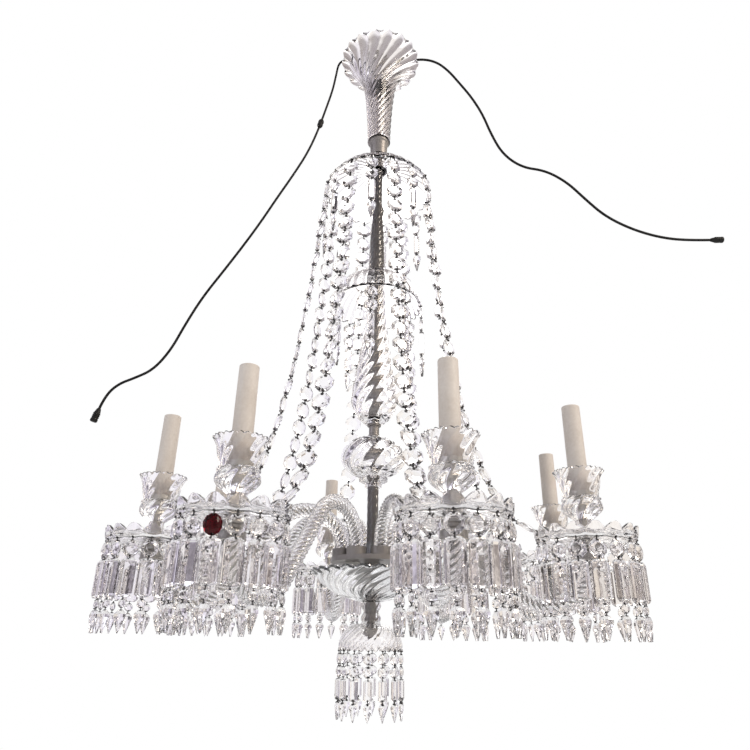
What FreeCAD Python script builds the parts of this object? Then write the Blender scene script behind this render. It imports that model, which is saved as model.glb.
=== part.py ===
"""Eight-light crystal chandelier: a column of glass pieces strung on a steel rod, eight S-shaped glass
arms with drip pans, cups and candle sleeves, crystal chains, hung drops and two loose supply leads.

Millimetres, +Z up. The origin is the centre of the hanging eye's bore. Heights run down from there:
every piece of the column seats on the one below it, and the nut under the bottom dish carries them all.
"""

import FreeCAD, Part
import math
import os

Vector = FreeCAD.Vector
Z_AXIS = Vector(0, 0, 1)
CENTRE = Vector(0, 0, 0)

# ---- Hanging eye, rod and cord grip -------------------------------------------------------------
EYE_BORE_RADIUS = 9.0
EYE_RIM = 6.0
EYE_THICKNESS = 8.0
EYE_SHANK_RADIUS = 8.5
EYE_SHANK_LENGTH = 76.0
ROD_RADIUS = 6.0
ROD_BORE_RADIUS = 3.2
ROD_IN_EYE = 24.0
THREAD_CLEARANCE = 0.05
GLASS_CLEARANCE = 0.4
CABLE_CLEARANCE = 0.4
WIRE_HOLE_RADIUS = 2.6
GRIP_RADIUS = 21.0
GRIP_HEIGHT = 12.0

# ---- Canopy and the column of glass below it ----------------------------------------------------
CANOPY_BELOW_EYE = 14.0
CANOPY_WALL = 5.0
CANOPY_OUTLINE = [(86.0, 0.0), (66.0, 15.0), (50.0, 37.0), (37.0, 67.0), (30.5, 111.0),
                  (26.8, 155.0), (24.6, 197.0), (23.5, 232.0)]    # radius, depth below the rim
COLLAR_LIP_RADIUS = 20.5
COLLAR_LIP_HEIGHT = 7.0
COLLAR_TOP_RADIUS = 18.0
COLLAR_FOOT_RADIUS = 16.5
COLLAR_LENGTH = 38.0

DISH_LIP = 4.0
UPPER_DISH_HUB_RADIUS = 18.0
UPPER_DISH_HUB_HEIGHT = 37.0
UPPER_DISH_RADIUS = 105.0
UPPER_DISH_DROP = 59.0
UPPER_DISH_BULGE = 13.0
UPPER_DISH_WALL = 4.5
MIDDLE_DISH_HUB_RADIUS = 18.0
MIDDLE_DISH_HUB_HEIGHT = 7.0
MIDDLE_DISH_RADIUS = 84.0
MIDDLE_DISH_DROP = 72.0
MIDDLE_DISH_BULGE = 14.0
MIDDLE_DISH_WALL = 4.5
BOTTOM_DISH_HUB_RADIUS = 15.0
BOTTOM_DISH_HUB_HEIGHT = 3.0
BOTTOM_DISH_RADIUS = 48.0
BOTTOM_DISH_DROP = 38.0
BOTTOM_DISH_BULGE = 10.0
BOTTOM_DISH_WALL = 4.0

UPPER_COLUMN_LENGTH = 238.0
UPPER_COLUMN_NECK = [(0.0, 9.5), (0.16, 8.6), (0.36, 8.8)]       # share of the length, radius
UPPER_COLUMN_KNOP = [(0.36, 8.8), (0.41, 13.0), (0.46, 10.0)]
UPPER_COLUMN_FLARE = [(0.46, 10.0), (0.70, 13.7), (1.0, 16.0)]
VASE_LENGTH = 291.0
VASE_WALL = 5.0
VASE_RADII = [(0.0, 14.0), (0.14, 17.0), (0.31, 19.5), (0.45, 23.5), (0.62, 31.0), (0.78, 38.5),
              (0.87, 39.5), (0.95, 30.0), (1.0, 15.0)]            # share of the length, radius
BALL_COLLAR_RADIUS = 8.5
BALL_COLLAR_LIP_RADIUS = 11.5
BALL_COLLAR_LIP_HEIGHT = 4.0
BALL_COLLAR_LENGTH = 24.0
BALL_RADIUS = 54.0
BALL_LENGTH = 68.0
BALL_OUTLINE_STEPS = 6
BALL_NECK_RADIUS = 16.0
BALL_WALL = 5.0
BALL_DISH_RADIUS = 24.0
BALL_DISH_FOOT_RADIUS = 14.0
BALL_DISH_LENGTH = 15.0
LOWER_COLUMN_LENGTH = 108.0
LOWER_COLUMN_RADIUS = 9.0
LOWER_COLUMN_FOOT_RADIUS = 12.0
LOWER_COLUMN_FOOT_HEIGHT = 10.0

# ---- Receiver: the plate that carries the arms, its glass bowl and the pieces below -------------
ARM_COUNT = 8
FIRST_ARM_DEG = 15.8                  # turn of the first arm from straight ahead (-Y) towards +X
PLATE_RADIUS = 63.5
PLATE_THICKNESS = 7.0
PLATE_HUB_RISE = 4.0
PLATE_BOSS_RADIUS = 12.5
SOCKET_WALL = 3.5
SOCKET_HEIGHT = 12.0
BOWL_RADIUS = 94.0
BOWL_FOOT_RADIUS = 16.0
BOWL_SHAPE = [(1.0, 0.0), (0.91, 0.20), (0.76, 0.45), (0.48, 0.76), (0.0, 1.0)]   # shares of reach, depth
BOWL_DEPTH = 46.0
BOWL_WALL = 5.0
BOWL_RIM_BELOW_PLATE = 17.0
NECK_LENGTH = 27.0
NECK_RADIUS = 15.0
NECK_WAIST_RADIUS = 10.5
NECK_BEAD_HEIGHT = 7.0
NUT_RADIUS = 11.0
NUT_HEIGHT = 12.0
ROD_BELOW_NUT = 3.0
TERMINAL_SIZE = (22.0, 40.0, 13.0)
TERMINAL_OFFSET = 18.0                # from the axis to the block's inner face

# ---- Arms, measured in their own upright plane (distance from the axis, height) ------------------
ARM_RING_RADIUS = 322.5               # from the axis to each candle
ARM_ROOT_RADIUS = 48.0
ARM_TUBE_RADIUS = 11.0
ARM_BORE_RADIUS = 4.0
ARM_FIT_CLEARANCE = 0.3
ARM_ARCH_RADIUS = 56.0
ARM_DIP_RADIUS = 56.0
ARM_END_BELOW_ROOT = 8.0
FERRULE_SKIRT = 9.0
FERRULE_WALL = 5.2
FERRULE_CAP = 3.0                     # from the arm's end to the top of the skirt
FERRULE_NECK_RADIUS = 9.0
FERRULE_FLANGE_RADIUS = 16.0
FERRULE_FLANGE_HEIGHT = 3.0
FERRULE_FLOOR = 12.0

# ---- Candle pieces on each arm -------------------------------------------------------------------
PAN_HUB_HEIGHT = 6.0
PAN_FLAT_RADIUS = 58.0
PAN_RADIUS = 67.0
PAN_THICKNESS = 4.0
PAN_PETAL_RISE = 16.0
PAN_TIP_WIDTH = 3.0
CUP_HEIGHT = 92.0
CUP_RIM_RADIUS = 35.0
CUP_WALL = 3.5
CUP_BODY_RADIUS = 22.5
CUP_BODY_HEIGHT = 37.0
CUP_MIDDLE_HEIGHT = 0.45               # share of the body's height, where its flare has reached
CUP_MIDDLE_FLARE = 0.35               # this share
CUP_LEDGE_RADIUS = 26.0
CUP_LEDGE_HEIGHT = 4.0
CUP_LEDGE_STEP = 2.0                  # from the ledge's edge in to the bulb
CUP_BULB_RADIUS = 27.5
CUP_BULB_HEIGHT = 26.0
CUP_BULB_WIDEST = 0.3                 # share of the bulb's height
CUP_STEM_RADIUS = 10.5
CUP_FOOT_RADIUS = 14.0
CUP_FOOT_HEIGHT = 6.0
CUP_FLOOR_RADIUS = 19.0
NIPPLE_RADIUS = 5.0
NIPPLE_BORE_RADIUS = 3.0
HOLDER_FOOT_RADIUS = 15.5
HOLDER_FOOT_HEIGHT = 8.0
HOLDER_RADIUS = 11.2
SOCKET_BORE_RADIUS = 7.0              # small Edison screw lamp, 14 mm over the thread
SOCKET_BORE_DEPTH = 22.0
HOLDER_BELOW_SLEEVE = 4.0
SLEEVE_RADIUS = 13.0
SLEEVE_LENGTH = 123.0
SLEEVE_CLEARANCE = 0.3
SLEEVE_EDGE = 2.0
SEAT_GAP = 0.3                        # between a piece that moves and what it rests on

# ---- Cut crystals --------------------------------------------------------------------------------
PIN_RADIUS = 0.6
PIN_GAP = 0.3
HOOK_REACH = 2.0                      # from the rim above to the first crystal of a string
LINK_LENGTH = 2.0                     # between two crystals of a string
PIN_SUNK_SHARE = 1 / 6                # of a crystal's length, the part of a pin inside it
CRYSTAL_ROUNDNESS = 0.36              # thickness of an octagon as a share of its width
CRYSTAL_TABLE = 0.62                  # width of the flat faces as a share of the crystal's
CRYSTAL_GIRDLE = 0.28                 # height of the edge as a share of the thickness
LONG_CRYSTAL_SIDES = 6
PRISM_LEVELS = [(0.0, 0.45), (0.13, 1.0), (0.87, 1.0), (1.0, 0.45)]      # share of the length, of the width
SPEAR_LEVELS = [(0.0, 0.3), (0.18, 0.98), (0.3, 1.0), (0.97, 0.12), (1.0, 0.05)]
OCTAGON_SIZE = 22.0
PAN_PRISM = (22.0, 48.0, 11.0)        # width, length, thickness
PAN_BEAD_SIZE = 11.0
PAN_SPEAR = (15.0, 28.0, 9.0)
DISH_OCTAGON_SIZE = 23.0
DISH_PRISM = (14.0, 46.0, 8.0)
DISH_SPEAR = (17.0, 38.0, 9.0)
DISH_OCTAGON_ROWS = 2
BOTTOM_OCTAGON_SIZE = 14.5
BOTTOM_PRISM = (12.5, 27.0, 7.0)
BOTTOM_SPEAR = (12.0, 23.0, 7.0)
STRINGS = 8
STRING_TURN_DEG = 180.0 / STRINGS     # strings hang midway between the arms
BOTTOM_STRINGS = 14
DISH_STRING_PHASE = 0.5               # of a step past the first arm: midway between the chains
BOTTOM_STRING_PHASE = 0.25
RED_CRYSTAL_WIDTH = 21.5
RED_CRYSTAL_HEIGHT = 22.5
RED_CRYSTAL_THICKNESS = 9.0
RED_CRYSTAL_CORNERS = 12
RED_ARM = 7                           # the arm at the front left
RED_STRING = 0

CHAIN_OCTAGON_SIZE = 29.0
CHAIN_PITCH = 33.0
CHAIN_SLACK = 1.025                   # length of a chain over the straight distance between its ends
CURVE_SEARCH_SPAN = 40                # the curve's scale lies within this many times the chain's reach
CURVE_SEARCH_STEPS = 80

# ---- Supply leads, along routes chosen by hand (X, Z in the plane Y = 0) -------------------------
LEFT_LEAD_DIAMETER = 4.5
RIGHT_LEAD_DIAMETER = 5.0
LEAD_EXIT = 16.0
LEFT_ROUTE = [(-16.0, -58.0), (-36.0, -28.0), (-58.0, -7.0), (-82.0, -2.0), (-101.0, -16.0),
              (-105.0, -52.0), (-107.0, -99.0), (-115.0, -155.0), (-131.0, -217.0),
              (-155.0, -277.0), (-182.0, -336.0), (-210.0, -394.0), (-237.0, -453.0),
              (-266.0, -510.0), (-296.0, -567.0), (-324.0, -624.0), (-344.0, -681.0),
              (-361.0, -734.0), (-384.0, -772.0), (-414.0, -788.0), (-444.0, -800.0),
              (-462.0, -822.0), (-468.0, -846.0)]
RIGHT_ROUTE = [(16.0, -57.0), (36.0, -28.0), (63.0, -7.0), (96.0, 2.0), (128.0, -6.0),
               (153.0, -32.0), (175.0, -69.0), (199.0, -114.0), (221.0, -162.0), (236.0, -215.0),
               (257.0, -265.0), (294.0, -299.0), (341.0, -313.0), (382.0, -338.0),
               (414.0, -378.0), (447.0, -416.0), (493.0, -446.0), (544.0, -466.0),
               (595.0, -476.0), (646.0, -478.0)]
SWITCH_RUN = 9                        # run of the left lead that carries the inline switch
SWITCH_RADIUS = 6.0
SWITCH_LENGTH = 20.0
PLUG_RADIUS = 6.0
PLUG_LENGTH = 24.0
BEND_SHARE = 0.45                     # of the shorter run beside a bend

# ---- Heights worked out from the sizes above -----------------------------------------------------
canopy_rim_z = -CANOPY_BELOW_EYE
canopy_length = CANOPY_OUTLINE[-1][1]
collar_top_z = canopy_rim_z - canopy_length
upper_dish_top_z = collar_top_z - COLLAR_LENGTH
upper_rim_z = upper_dish_top_z - UPPER_DISH_HUB_HEIGHT - UPPER_DISH_DROP
upper_column_top_z = upper_dish_top_z - UPPER_DISH_HUB_HEIGHT - UPPER_DISH_WALL
middle_dish_top_z = upper_column_top_z - UPPER_COLUMN_LENGTH
middle_rim_z = middle_dish_top_z - MIDDLE_DISH_HUB_HEIGHT - MIDDLE_DISH_DROP
vase_top_z = middle_dish_top_z - MIDDLE_DISH_HUB_HEIGHT - MIDDLE_DISH_WALL
ball_collar_top_z = vase_top_z - VASE_LENGTH
ball_top_z = ball_collar_top_z - BALL_COLLAR_LENGTH
ball_dish_top_z = ball_top_z - BALL_LENGTH
lower_column_top_z = ball_dish_top_z - BALL_DISH_LENGTH
plate_hub_z = lower_column_top_z - LOWER_COLUMN_LENGTH
plate_z = plate_hub_z - PLATE_HUB_RISE
bowl_rim_z = plate_z - BOWL_RIM_BELOW_PLATE
bowl_foot_z = bowl_rim_z - BOWL_DEPTH
bottom_dish_top_z = bowl_foot_z - NECK_LENGTH
bottom_rim_z = bottom_dish_top_z - BOTTOM_DISH_HUB_HEIGHT - BOTTOM_DISH_DROP
nut_top_z = bottom_dish_top_z - BOTTOM_DISH_HUB_HEIGHT - BOTTOM_DISH_WALL
rod_foot_z = nut_top_z - NUT_HEIGHT - ROD_BELOW_NUT
eye_radius = EYE_BORE_RADIUS + EYE_RIM
eye_shank_foot_z = -eye_radius - EYE_SHANK_LENGTH
rod_top_z = eye_shank_foot_z + ROD_IN_EYE
glass_bore = ROD_RADIUS + GLASS_CLEARANCE
thread_bore = ROD_RADIUS + THREAD_CLEARANCE
arm_end_z = plate_z - ARM_END_BELOW_ROOT
ferrule_top_z = arm_end_z + FERRULE_FLOOR
pan_top_z = ferrule_top_z + PAN_HUB_HEIGHT
cup_rim_z = pan_top_z + CUP_HEIGHT
cup_floor_z = cup_rim_z - CUP_BODY_HEIGHT
sleeve_foot_z = cup_floor_z + HOLDER_FOOT_HEIGHT + SEAT_GAP
sleeve_top_z = sleeve_foot_z + SLEEVE_LENGTH
holder_top_z = sleeve_top_z - HOLDER_BELOW_SLEEVE
pan_rim_z = ferrule_top_z + PAN_THICKNESS + PAN_PETAL_RISE
drop_circle = PAN_FLAT_RADIUS + PAN_THICKNESS
chain_top_circle = UPPER_DISH_RADIUS - DISH_LIP / 2
chain_foot_circle = ARM_RING_RADIUS - PAN_RADIUS + PAN_TIP_WIDTH / 2


# ---- Shapes that several pieces share -------------------------------------------------------------
def point(radius, height):
    """Point of an outline drawn in the XZ plane."""
    return Vector(radius, 0, height)


def straight(*corners):
    """Edges that join the given (radius, height) corners in turn."""
    pairs = zip(corners[:-1], corners[1:])
    return [Part.LineSegment(point(*a), point(*b)).toShape() for a, b in pairs]


def smooth(outline):
    """One smooth edge through the given (radius, height) points."""
    curve = Part.BSplineCurve()
    curve.interpolate([point(r, z) for r, z in outline])
    return [curve.toShape()]


def spun(edges):
    """Solid of revolution about Z from a closed run of outline edges."""
    face = Part.Face(Part.Wire(edges))
    return face.revolve(CENTRE, Z_AXIS, 360)


def turned(corners):
    """Solid of revolution about Z from closed straight-edged (radius, height) corners."""
    return spun(straight(*corners, corners[0]))


def inset(outline, wall):
    """The outline's points moved in by the wall, square to it; the outline runs from top to bottom."""
    last = len(outline) - 1
    moved = []
    for index, (r, z) in enumerate(outline):
        r_before, z_before = outline[max(index - 1, 0)]
        r_after, z_after = outline[min(index + 1, last)]
        length = math.hypot(r_after - r_before, z_after - z_before)
        moved.append((r + wall * (z_after - z_before) / length, z - wall * (r_after - r_before) / length))
    return moved


def clipped(outline, low, high):
    """The outline's points whose height lies strictly between low and high."""
    return [(r, z) for r, z in outline if low < z < high]


def around(shape, radius, angle_deg, turn_deg=0.0):
    """Copy of a shape made at the axis, moved out to radius at an angle from -Y towards +X."""
    placed = shape.copy()
    placed.Placement = ring_place(radius, angle_deg, turn_deg).multiply(shape.Placement)
    return placed


def ring_place(radius, angle_deg, turn_deg=0.0):
    """Placement whose X axis points away from the main axis, at a spot on a circle about it."""
    angle = math.radians(angle_deg)
    spot = Vector(radius * math.sin(angle), -radius * math.cos(angle), 0)
    return FreeCAD.Placement(spot, FreeCAD.Rotation(Z_AXIS, angle_deg - 90 + turn_deg))


def arm_angle(index):
    """Angle of an arm from -Y towards +X, in degrees."""
    return FIRST_ARM_DEG + index * 360.0 / ARM_COUNT


def arm_group(shape):
    """The shape repeated at every arm's candle, as one group."""
    return Part.makeCompound([around(shape, ARM_RING_RADIUS, arm_angle(i)) for i in range(ARM_COUNT)])


def export(shape, name):
    """Write one node."""
    shape.exportStep("parts/" + name + ".step")


# ---- Hanging eye, rod, cord grip ------------------------------------------------------------------
def make_hanging_eye():
    """Ring for the ceiling hook, on a shank that is screwed onto the rod."""
    ring = Part.makeCylinder(eye_radius, EYE_THICKNESS, Vector(0, -EYE_THICKNESS / 2, 0), Vector(0, 1, 0))
    rim_middle_z = -(EYE_BORE_RADIUS + eye_radius) / 2
    shank_height = rim_middle_z - eye_shank_foot_z
    shank = Part.makeCylinder(EYE_SHANK_RADIUS, shank_height, Vector(0, 0, eye_shank_foot_z))
    hook_bore = Part.makeCylinder(EYE_BORE_RADIUS, EYE_SHANK_RADIUS * 2,
                                  Vector(0, -EYE_SHANK_RADIUS, 0), Vector(0, 1, 0))
    rod_bore = Part.makeCylinder(thread_bore, ROD_IN_EYE, Vector(0, 0, eye_shank_foot_z))
    return ring.fuse(shank).cut(hook_bore).cut(rod_bore)


def wire_hole(height):
    """Round cutter that lets the supply wires through one side of the rod."""
    return Part.makeCylinder(WIRE_HOLE_RADIUS, GRIP_RADIUS, Vector(0, 0, height), Vector(1, 0, 0))


def make_central_rod():
    """Threaded steel tube that carries the whole column."""
    rod = turned([(ROD_BORE_RADIUS, rod_foot_z), (ROD_RADIUS, rod_foot_z),
                  (ROD_RADIUS, rod_top_z), (ROD_BORE_RADIUS, rod_top_z)])
    return rod.cut(wire_hole(lower_wire_hole_z))


def make_rod_cable():
    """Supply cable inside the rod, from the eye down to the terminal block."""
    radius = ROD_BORE_RADIUS - CABLE_CLEARANCE
    return Part.makeCylinder(radius, rod_top_z - lower_wire_hole_z, Vector(0, 0, lower_wire_hole_z))


def make_cord_grip():
    """Disc clamped on the rod under the eye, where both supply leads end."""
    top = eye_shank_foot_z
    return turned([(thread_bore, top - GRIP_HEIGHT), (GRIP_RADIUS, top - GRIP_HEIGHT),
                   (GRIP_RADIUS, top), (thread_bore, top)])


# ---- Glass column ---------------------------------------------------------------------------------
def make_canopy():
    """Flared glass trumpet whose rim stands just under the hanging eye."""
    outer = [(r, canopy_rim_z - depth) for r, depth in CANOPY_OUTLINE]
    inner = inset(outer, CANOPY_WALL)
    inner_top = clipped(inner, collar_top_z, canopy_rim_z)
    foot = (inner[-1][0], collar_top_z)
    rim = (outer[0][0] - CANOPY_WALL, canopy_rim_z)
    inner_line = [rim] + inner_top[1:] + [foot]
    edges = smooth(outer) + straight(outer[-1], foot) + smooth(inner_line[::-1]) + straight(rim, outer[0])
    return spun(edges)


def make_canopy_collar():
    """Metal collar on the rod with a wide lip that the canopy stands on."""
    lip_z = collar_top_z - COLLAR_LIP_HEIGHT
    return turned([(glass_bore, collar_top_z), (COLLAR_LIP_RADIUS, collar_top_z),
                   (COLLAR_LIP_RADIUS, lip_z), (COLLAR_TOP_RADIUS, lip_z),
                   (COLLAR_FOOT_RADIUS, upper_dish_top_z), (glass_bore, upper_dish_top_z)])


def make_dish(top_z, hub_radius, hub_height, radius, drop, bulge, wall):
    """Domed glass dish with a bored hub and a flat lip under its rim."""
    shoulder_z = top_z - hub_height
    rim_z = shoulder_z - drop
    start = (hub_radius, shoulder_z)
    end = (radius, rim_z + DISH_LIP)
    chord = math.hypot(end[0] - start[0], end[1] - start[1])
    out_r = (start[1] - end[1]) / chord
    out_z = (end[0] - start[0]) / chord
    middle = ((start[0] + end[0]) / 2 + bulge * out_r, (start[1] + end[1]) / 2 + bulge * out_z)
    inner_start = (hub_radius - wall * out_r, shoulder_z - wall)
    inner_middle = (middle[0] - wall * out_r, middle[1] - wall * out_z)
    inner_end = (radius - DISH_LIP, rim_z)
    outer_arc = Part.Arc(point(*start), point(*middle), point(*end)).toShape()
    inner_arc = Part.Arc(point(*inner_end), point(*inner_middle), point(*inner_start)).toShape()
    edges = straight((glass_bore, top_z), (hub_radius, top_z), start) + [outer_arc]
    edges += straight(end, (radius, rim_z), inner_end) + [inner_arc]
    edges += straight(inner_start, (glass_bore, shoulder_z - wall), (glass_bore, top_z))
    return spun(edges)


def make_upper_column():
    """Thin glass column with a knop and a flared foot, bored for the rod."""
    edges = []
    for run in (UPPER_COLUMN_NECK, UPPER_COLUMN_KNOP, UPPER_COLUMN_FLARE):
        edges += smooth([(radius, upper_column_top_z - share * UPPER_COLUMN_LENGTH) for share, radius in run])
    top = (UPPER_COLUMN_NECK[0][1], upper_column_top_z)
    foot = (UPPER_COLUMN_FLARE[-1][1], middle_dish_top_z)
    edges += straight(foot, (glass_bore, middle_dish_top_z), (glass_bore, upper_column_top_z), top)
    return spun(edges)


def make_hollow(outer, wall, top_z, foot_z):
    """Blown glass piece: a smooth outline, a wall, and a bored solid neck at both ends."""
    neck = wall * 2
    inner = clipped(inset(outer, wall), foot_z + neck, top_z - neck)
    inner = [(glass_bore, top_z - neck)] + inner + [(glass_bore, foot_z + neck)]
    solid = spun(smooth(outer) + straight(outer[-1], (glass_bore, foot_z), (glass_bore, top_z), outer[0]))
    hollow = spun(smooth(inner) + straight(inner[-1], (0, foot_z + neck), (0, top_z - neck), inner[0]))
    return solid.cut(hollow)


def make_vase():
    """Large glass baluster."""
    outer = [(radius, vase_top_z - share * VASE_LENGTH) for share, radius in VASE_RADII]
    return make_hollow(outer, VASE_WALL, vase_top_z, ball_collar_top_z)


def make_ball_collar():
    """Plain metal collar between the vase and the ball."""
    lip_z = ball_collar_top_z - BALL_COLLAR_LIP_HEIGHT
    foot_lip_z = ball_top_z + BALL_COLLAR_LIP_HEIGHT
    return turned([(glass_bore, ball_collar_top_z), (BALL_COLLAR_LIP_RADIUS, ball_collar_top_z),
                   (BALL_COLLAR_LIP_RADIUS, lip_z), (BALL_COLLAR_RADIUS, lip_z),
                   (BALL_COLLAR_RADIUS, foot_lip_z), (BALL_COLLAR_LIP_RADIUS, foot_lip_z),
                   (BALL_COLLAR_LIP_RADIUS, ball_top_z), (glass_bore, ball_top_z)])


def make_ball():
    """Squat hollow glass ball."""
    middle_z = (ball_top_z + ball_dish_top_z) / 2
    half = BALL_LENGTH / 2
    span = math.acos(BALL_NECK_RADIUS / BALL_RADIUS)
    outer = []
    for step in range(-BALL_OUTLINE_STEPS, BALL_OUTLINE_STEPS + 1):
        angle = span * step / BALL_OUTLINE_STEPS
        height = middle_z - half * math.sin(angle) / math.sin(span)
        outer.append((BALL_RADIUS * math.cos(angle), height))
    return make_hollow(outer, BALL_WALL, ball_top_z, ball_dish_top_z)


def make_ball_dish():
    """Small flared glass collar under the ball."""
    brim = BALL_DISH_LENGTH / 3
    return turned([(glass_bore, ball_dish_top_z), (BALL_DISH_RADIUS, ball_dish_top_z),
                   (BALL_DISH_RADIUS, ball_dish_top_z - brim),
                   (BALL_DISH_FOOT_RADIUS, ball_dish_top_z - 2 * brim),
                   (BALL_DISH_FOOT_RADIUS, lower_column_top_z), (glass_bore, lower_column_top_z)])


def make_lower_column():
    """Thin glass column that stands on the arm plate's hub."""
    foot_z = plate_hub_z + LOWER_COLUMN_FOOT_HEIGHT
    return turned([(glass_bore, lower_column_top_z), (LOWER_COLUMN_RADIUS, lower_column_top_z),
                   (LOWER_COLUMN_RADIUS, foot_z + LOWER_COLUMN_FOOT_HEIGHT),
                   (LOWER_COLUMN_FOOT_RADIUS, foot_z), (LOWER_COLUMN_FOOT_RADIUS, plate_hub_z),
                   (glass_bore, plate_hub_z)])


# ---- Receiver ---------------------------------------------------------------------------------------
plate_foot_z = plate_z - PLATE_THICKNESS
bowl_floor_z = bowl_foot_z + BOWL_WALL
lower_wire_hole_z = (plate_foot_z + bowl_floor_z) / 2


def make_arm_plate():
    """Metal plate with a socket for each arm; its boss stands on the bowl's floor."""
    plate = turned([(glass_bore, plate_hub_z), (LOWER_COLUMN_FOOT_RADIUS, plate_hub_z),
                    (LOWER_COLUMN_FOOT_RADIUS, plate_z), (PLATE_RADIUS, plate_z),
                    (PLATE_RADIUS, plate_foot_z), (PLATE_BOSS_RADIUS, plate_foot_z),
                    (PLATE_BOSS_RADIUS, bowl_floor_z), (glass_bore, bowl_floor_z)])
    bore = ARM_TUBE_RADIUS + ARM_FIT_CLEARANCE
    socket = turned([(bore, plate_z), (bore + SOCKET_WALL, plate_z),
                     (bore + SOCKET_WALL, plate_z + SOCKET_HEIGHT), (bore, plate_z + SOCKET_HEIGHT)])
    hole = Part.makeCylinder(ARM_BORE_RADIUS, PLATE_THICKNESS, Vector(0, 0, plate_foot_z))
    sockets = [around(socket, ARM_ROOT_RADIUS, arm_angle(i)) for i in range(ARM_COUNT)]
    holes = [around(hole, ARM_ROOT_RADIUS, arm_angle(i)) for i in range(ARM_COUNT)]
    return plate.fuse(sockets).cut(holes).cut(wire_hole(lower_wire_hole_z)).removeSplitter()


def make_terminal_block():
    """Terminal block under the arm plate, where the arms' cables meet the supply."""
    depth, width, height = TERMINAL_SIZE
    corner = Vector(-TERMINAL_OFFSET - depth, -width / 2, plate_foot_z - height)
    return Part.makeBox(depth, width, height, corner)


def make_receiver_bowl():
    """Wide glass bowl under the arm plate."""
    reach = BOWL_RADIUS - BOWL_FOOT_RADIUS
    outer = [(BOWL_FOOT_RADIUS + reach * r, bowl_rim_z - BOWL_DEPTH * z) for r, z in BOWL_SHAPE]
    inner = inset(outer, BOWL_WALL)[1:-1]
    rim = (BOWL_RADIUS - BOWL_WALL, bowl_rim_z)
    floor = (BOWL_FOOT_RADIUS, bowl_floor_z)
    edges = smooth(outer)
    edges += straight(outer[-1], (glass_bore, bowl_foot_z), (glass_bore, bowl_floor_z), floor)
    edges += smooth([floor] + inner[::-1] + [rim])
    edges += straight(rim, outer[0])
    return spun(edges)


def make_bowl_neck():
    """Glass spool between the bowl and the bottom dish."""
    top_bead_z = bowl_foot_z - NECK_BEAD_HEIGHT
    foot_bead_z = bottom_dish_top_z + NECK_BEAD_HEIGHT
    return turned([(glass_bore, bowl_foot_z), (NECK_RADIUS, bowl_foot_z), (NECK_RADIUS, top_bead_z),
                   (NECK_WAIST_RADIUS, (top_bead_z + foot_bead_z) / 2), (NECK_RADIUS, foot_bead_z),
                   (NECK_RADIUS, bottom_dish_top_z), (glass_bore, bottom_dish_top_z)])


def make_bottom_nut():
    """Hexagon nut on the rod's foot, which carries the column."""
    corners = [Vector(NUT_RADIUS * math.cos(math.radians(60 * i)),
                      NUT_RADIUS * math.sin(math.radians(60 * i)), nut_top_z - NUT_HEIGHT) for i in range(7)]
    blank = Part.Face(Part.makePolygon(corners)).extrude(Vector(0, 0, NUT_HEIGHT))
    return blank.cut(Part.makeCylinder(thread_bore, NUT_HEIGHT, Vector(0, 0, nut_top_z - NUT_HEIGHT)))


# ---- Arms --------------------------------------------------------------------------------------------
def arm_path():
    """Centre line of an arm in the XZ plane: up, over the arch, down and up again under the candle."""
    root = (ARM_ROOT_RADIUS, plate_z)
    spring = (ARM_ROOT_RADIUS, plate_z + SOCKET_HEIGHT)
    arch = (ARM_ROOT_RADIUS + ARM_ARCH_RADIUS, spring[1])
    dip_end = (ARM_RING_RADIUS, arm_end_z - FERRULE_SKIRT)
    dip = (ARM_RING_RADIUS - ARM_DIP_RADIUS, dip_end[1])
    across = math.atan2(dip[1] - arch[1], dip[0] - arch[0])
    distance = math.hypot(dip[0] - arch[0], dip[1] - arch[1])
    lean = across + math.acos((ARM_ARCH_RADIUS + ARM_DIP_RADIUS) / distance)

    def on_arch(angle):
        return point(arch[0] + ARM_ARCH_RADIUS * math.cos(angle), arch[1] + ARM_ARCH_RADIUS * math.sin(angle))

    def on_dip(angle):
        return point(dip[0] + ARM_DIP_RADIUS * math.cos(angle), dip[1] + ARM_DIP_RADIUS * math.sin(angle))

    leaves = on_arch(lean)
    meets = on_dip(lean - math.pi)
    over = Part.Arc(point(*spring), on_arch((math.pi + lean) / 2), leaves).toShape()
    under = Part.Arc(meets, on_dip((lean - math.pi) / 2), point(*dip_end)).toShape()
    return Part.Wire([Part.LineSegment(point(*root), point(*spring)).toShape(), over,
                      Part.LineSegment(leaves, meets).toShape(), under,
                      Part.LineSegment(point(*dip_end), point(ARM_RING_RADIUS, arm_end_z)).toShape()])


def tube_along(path, radius, start, direction):
    """Round bar of the given radius along a path."""
    ring = Part.Wire([Part.Circle(start, direction, radius).toShape()])
    return path.makePipeShell([ring], True, False)


def make_arm(path):
    """Glass arm with a bore for its cable, in the XZ plane."""
    start = point(ARM_ROOT_RADIUS, plate_z)
    bore = tube_along(path, ARM_BORE_RADIUS, start, Z_AXIS)
    return tube_along(path, ARM_TUBE_RADIUS, start, Z_AXIS).cut(bore)


def make_arm_cable(path):
    """Cable inside an arm, in the XZ plane."""
    start = point(ARM_ROOT_RADIUS, plate_z)
    return tube_along(path, ARM_BORE_RADIUS - CABLE_CLEARANCE, start, Z_AXIS)


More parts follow.
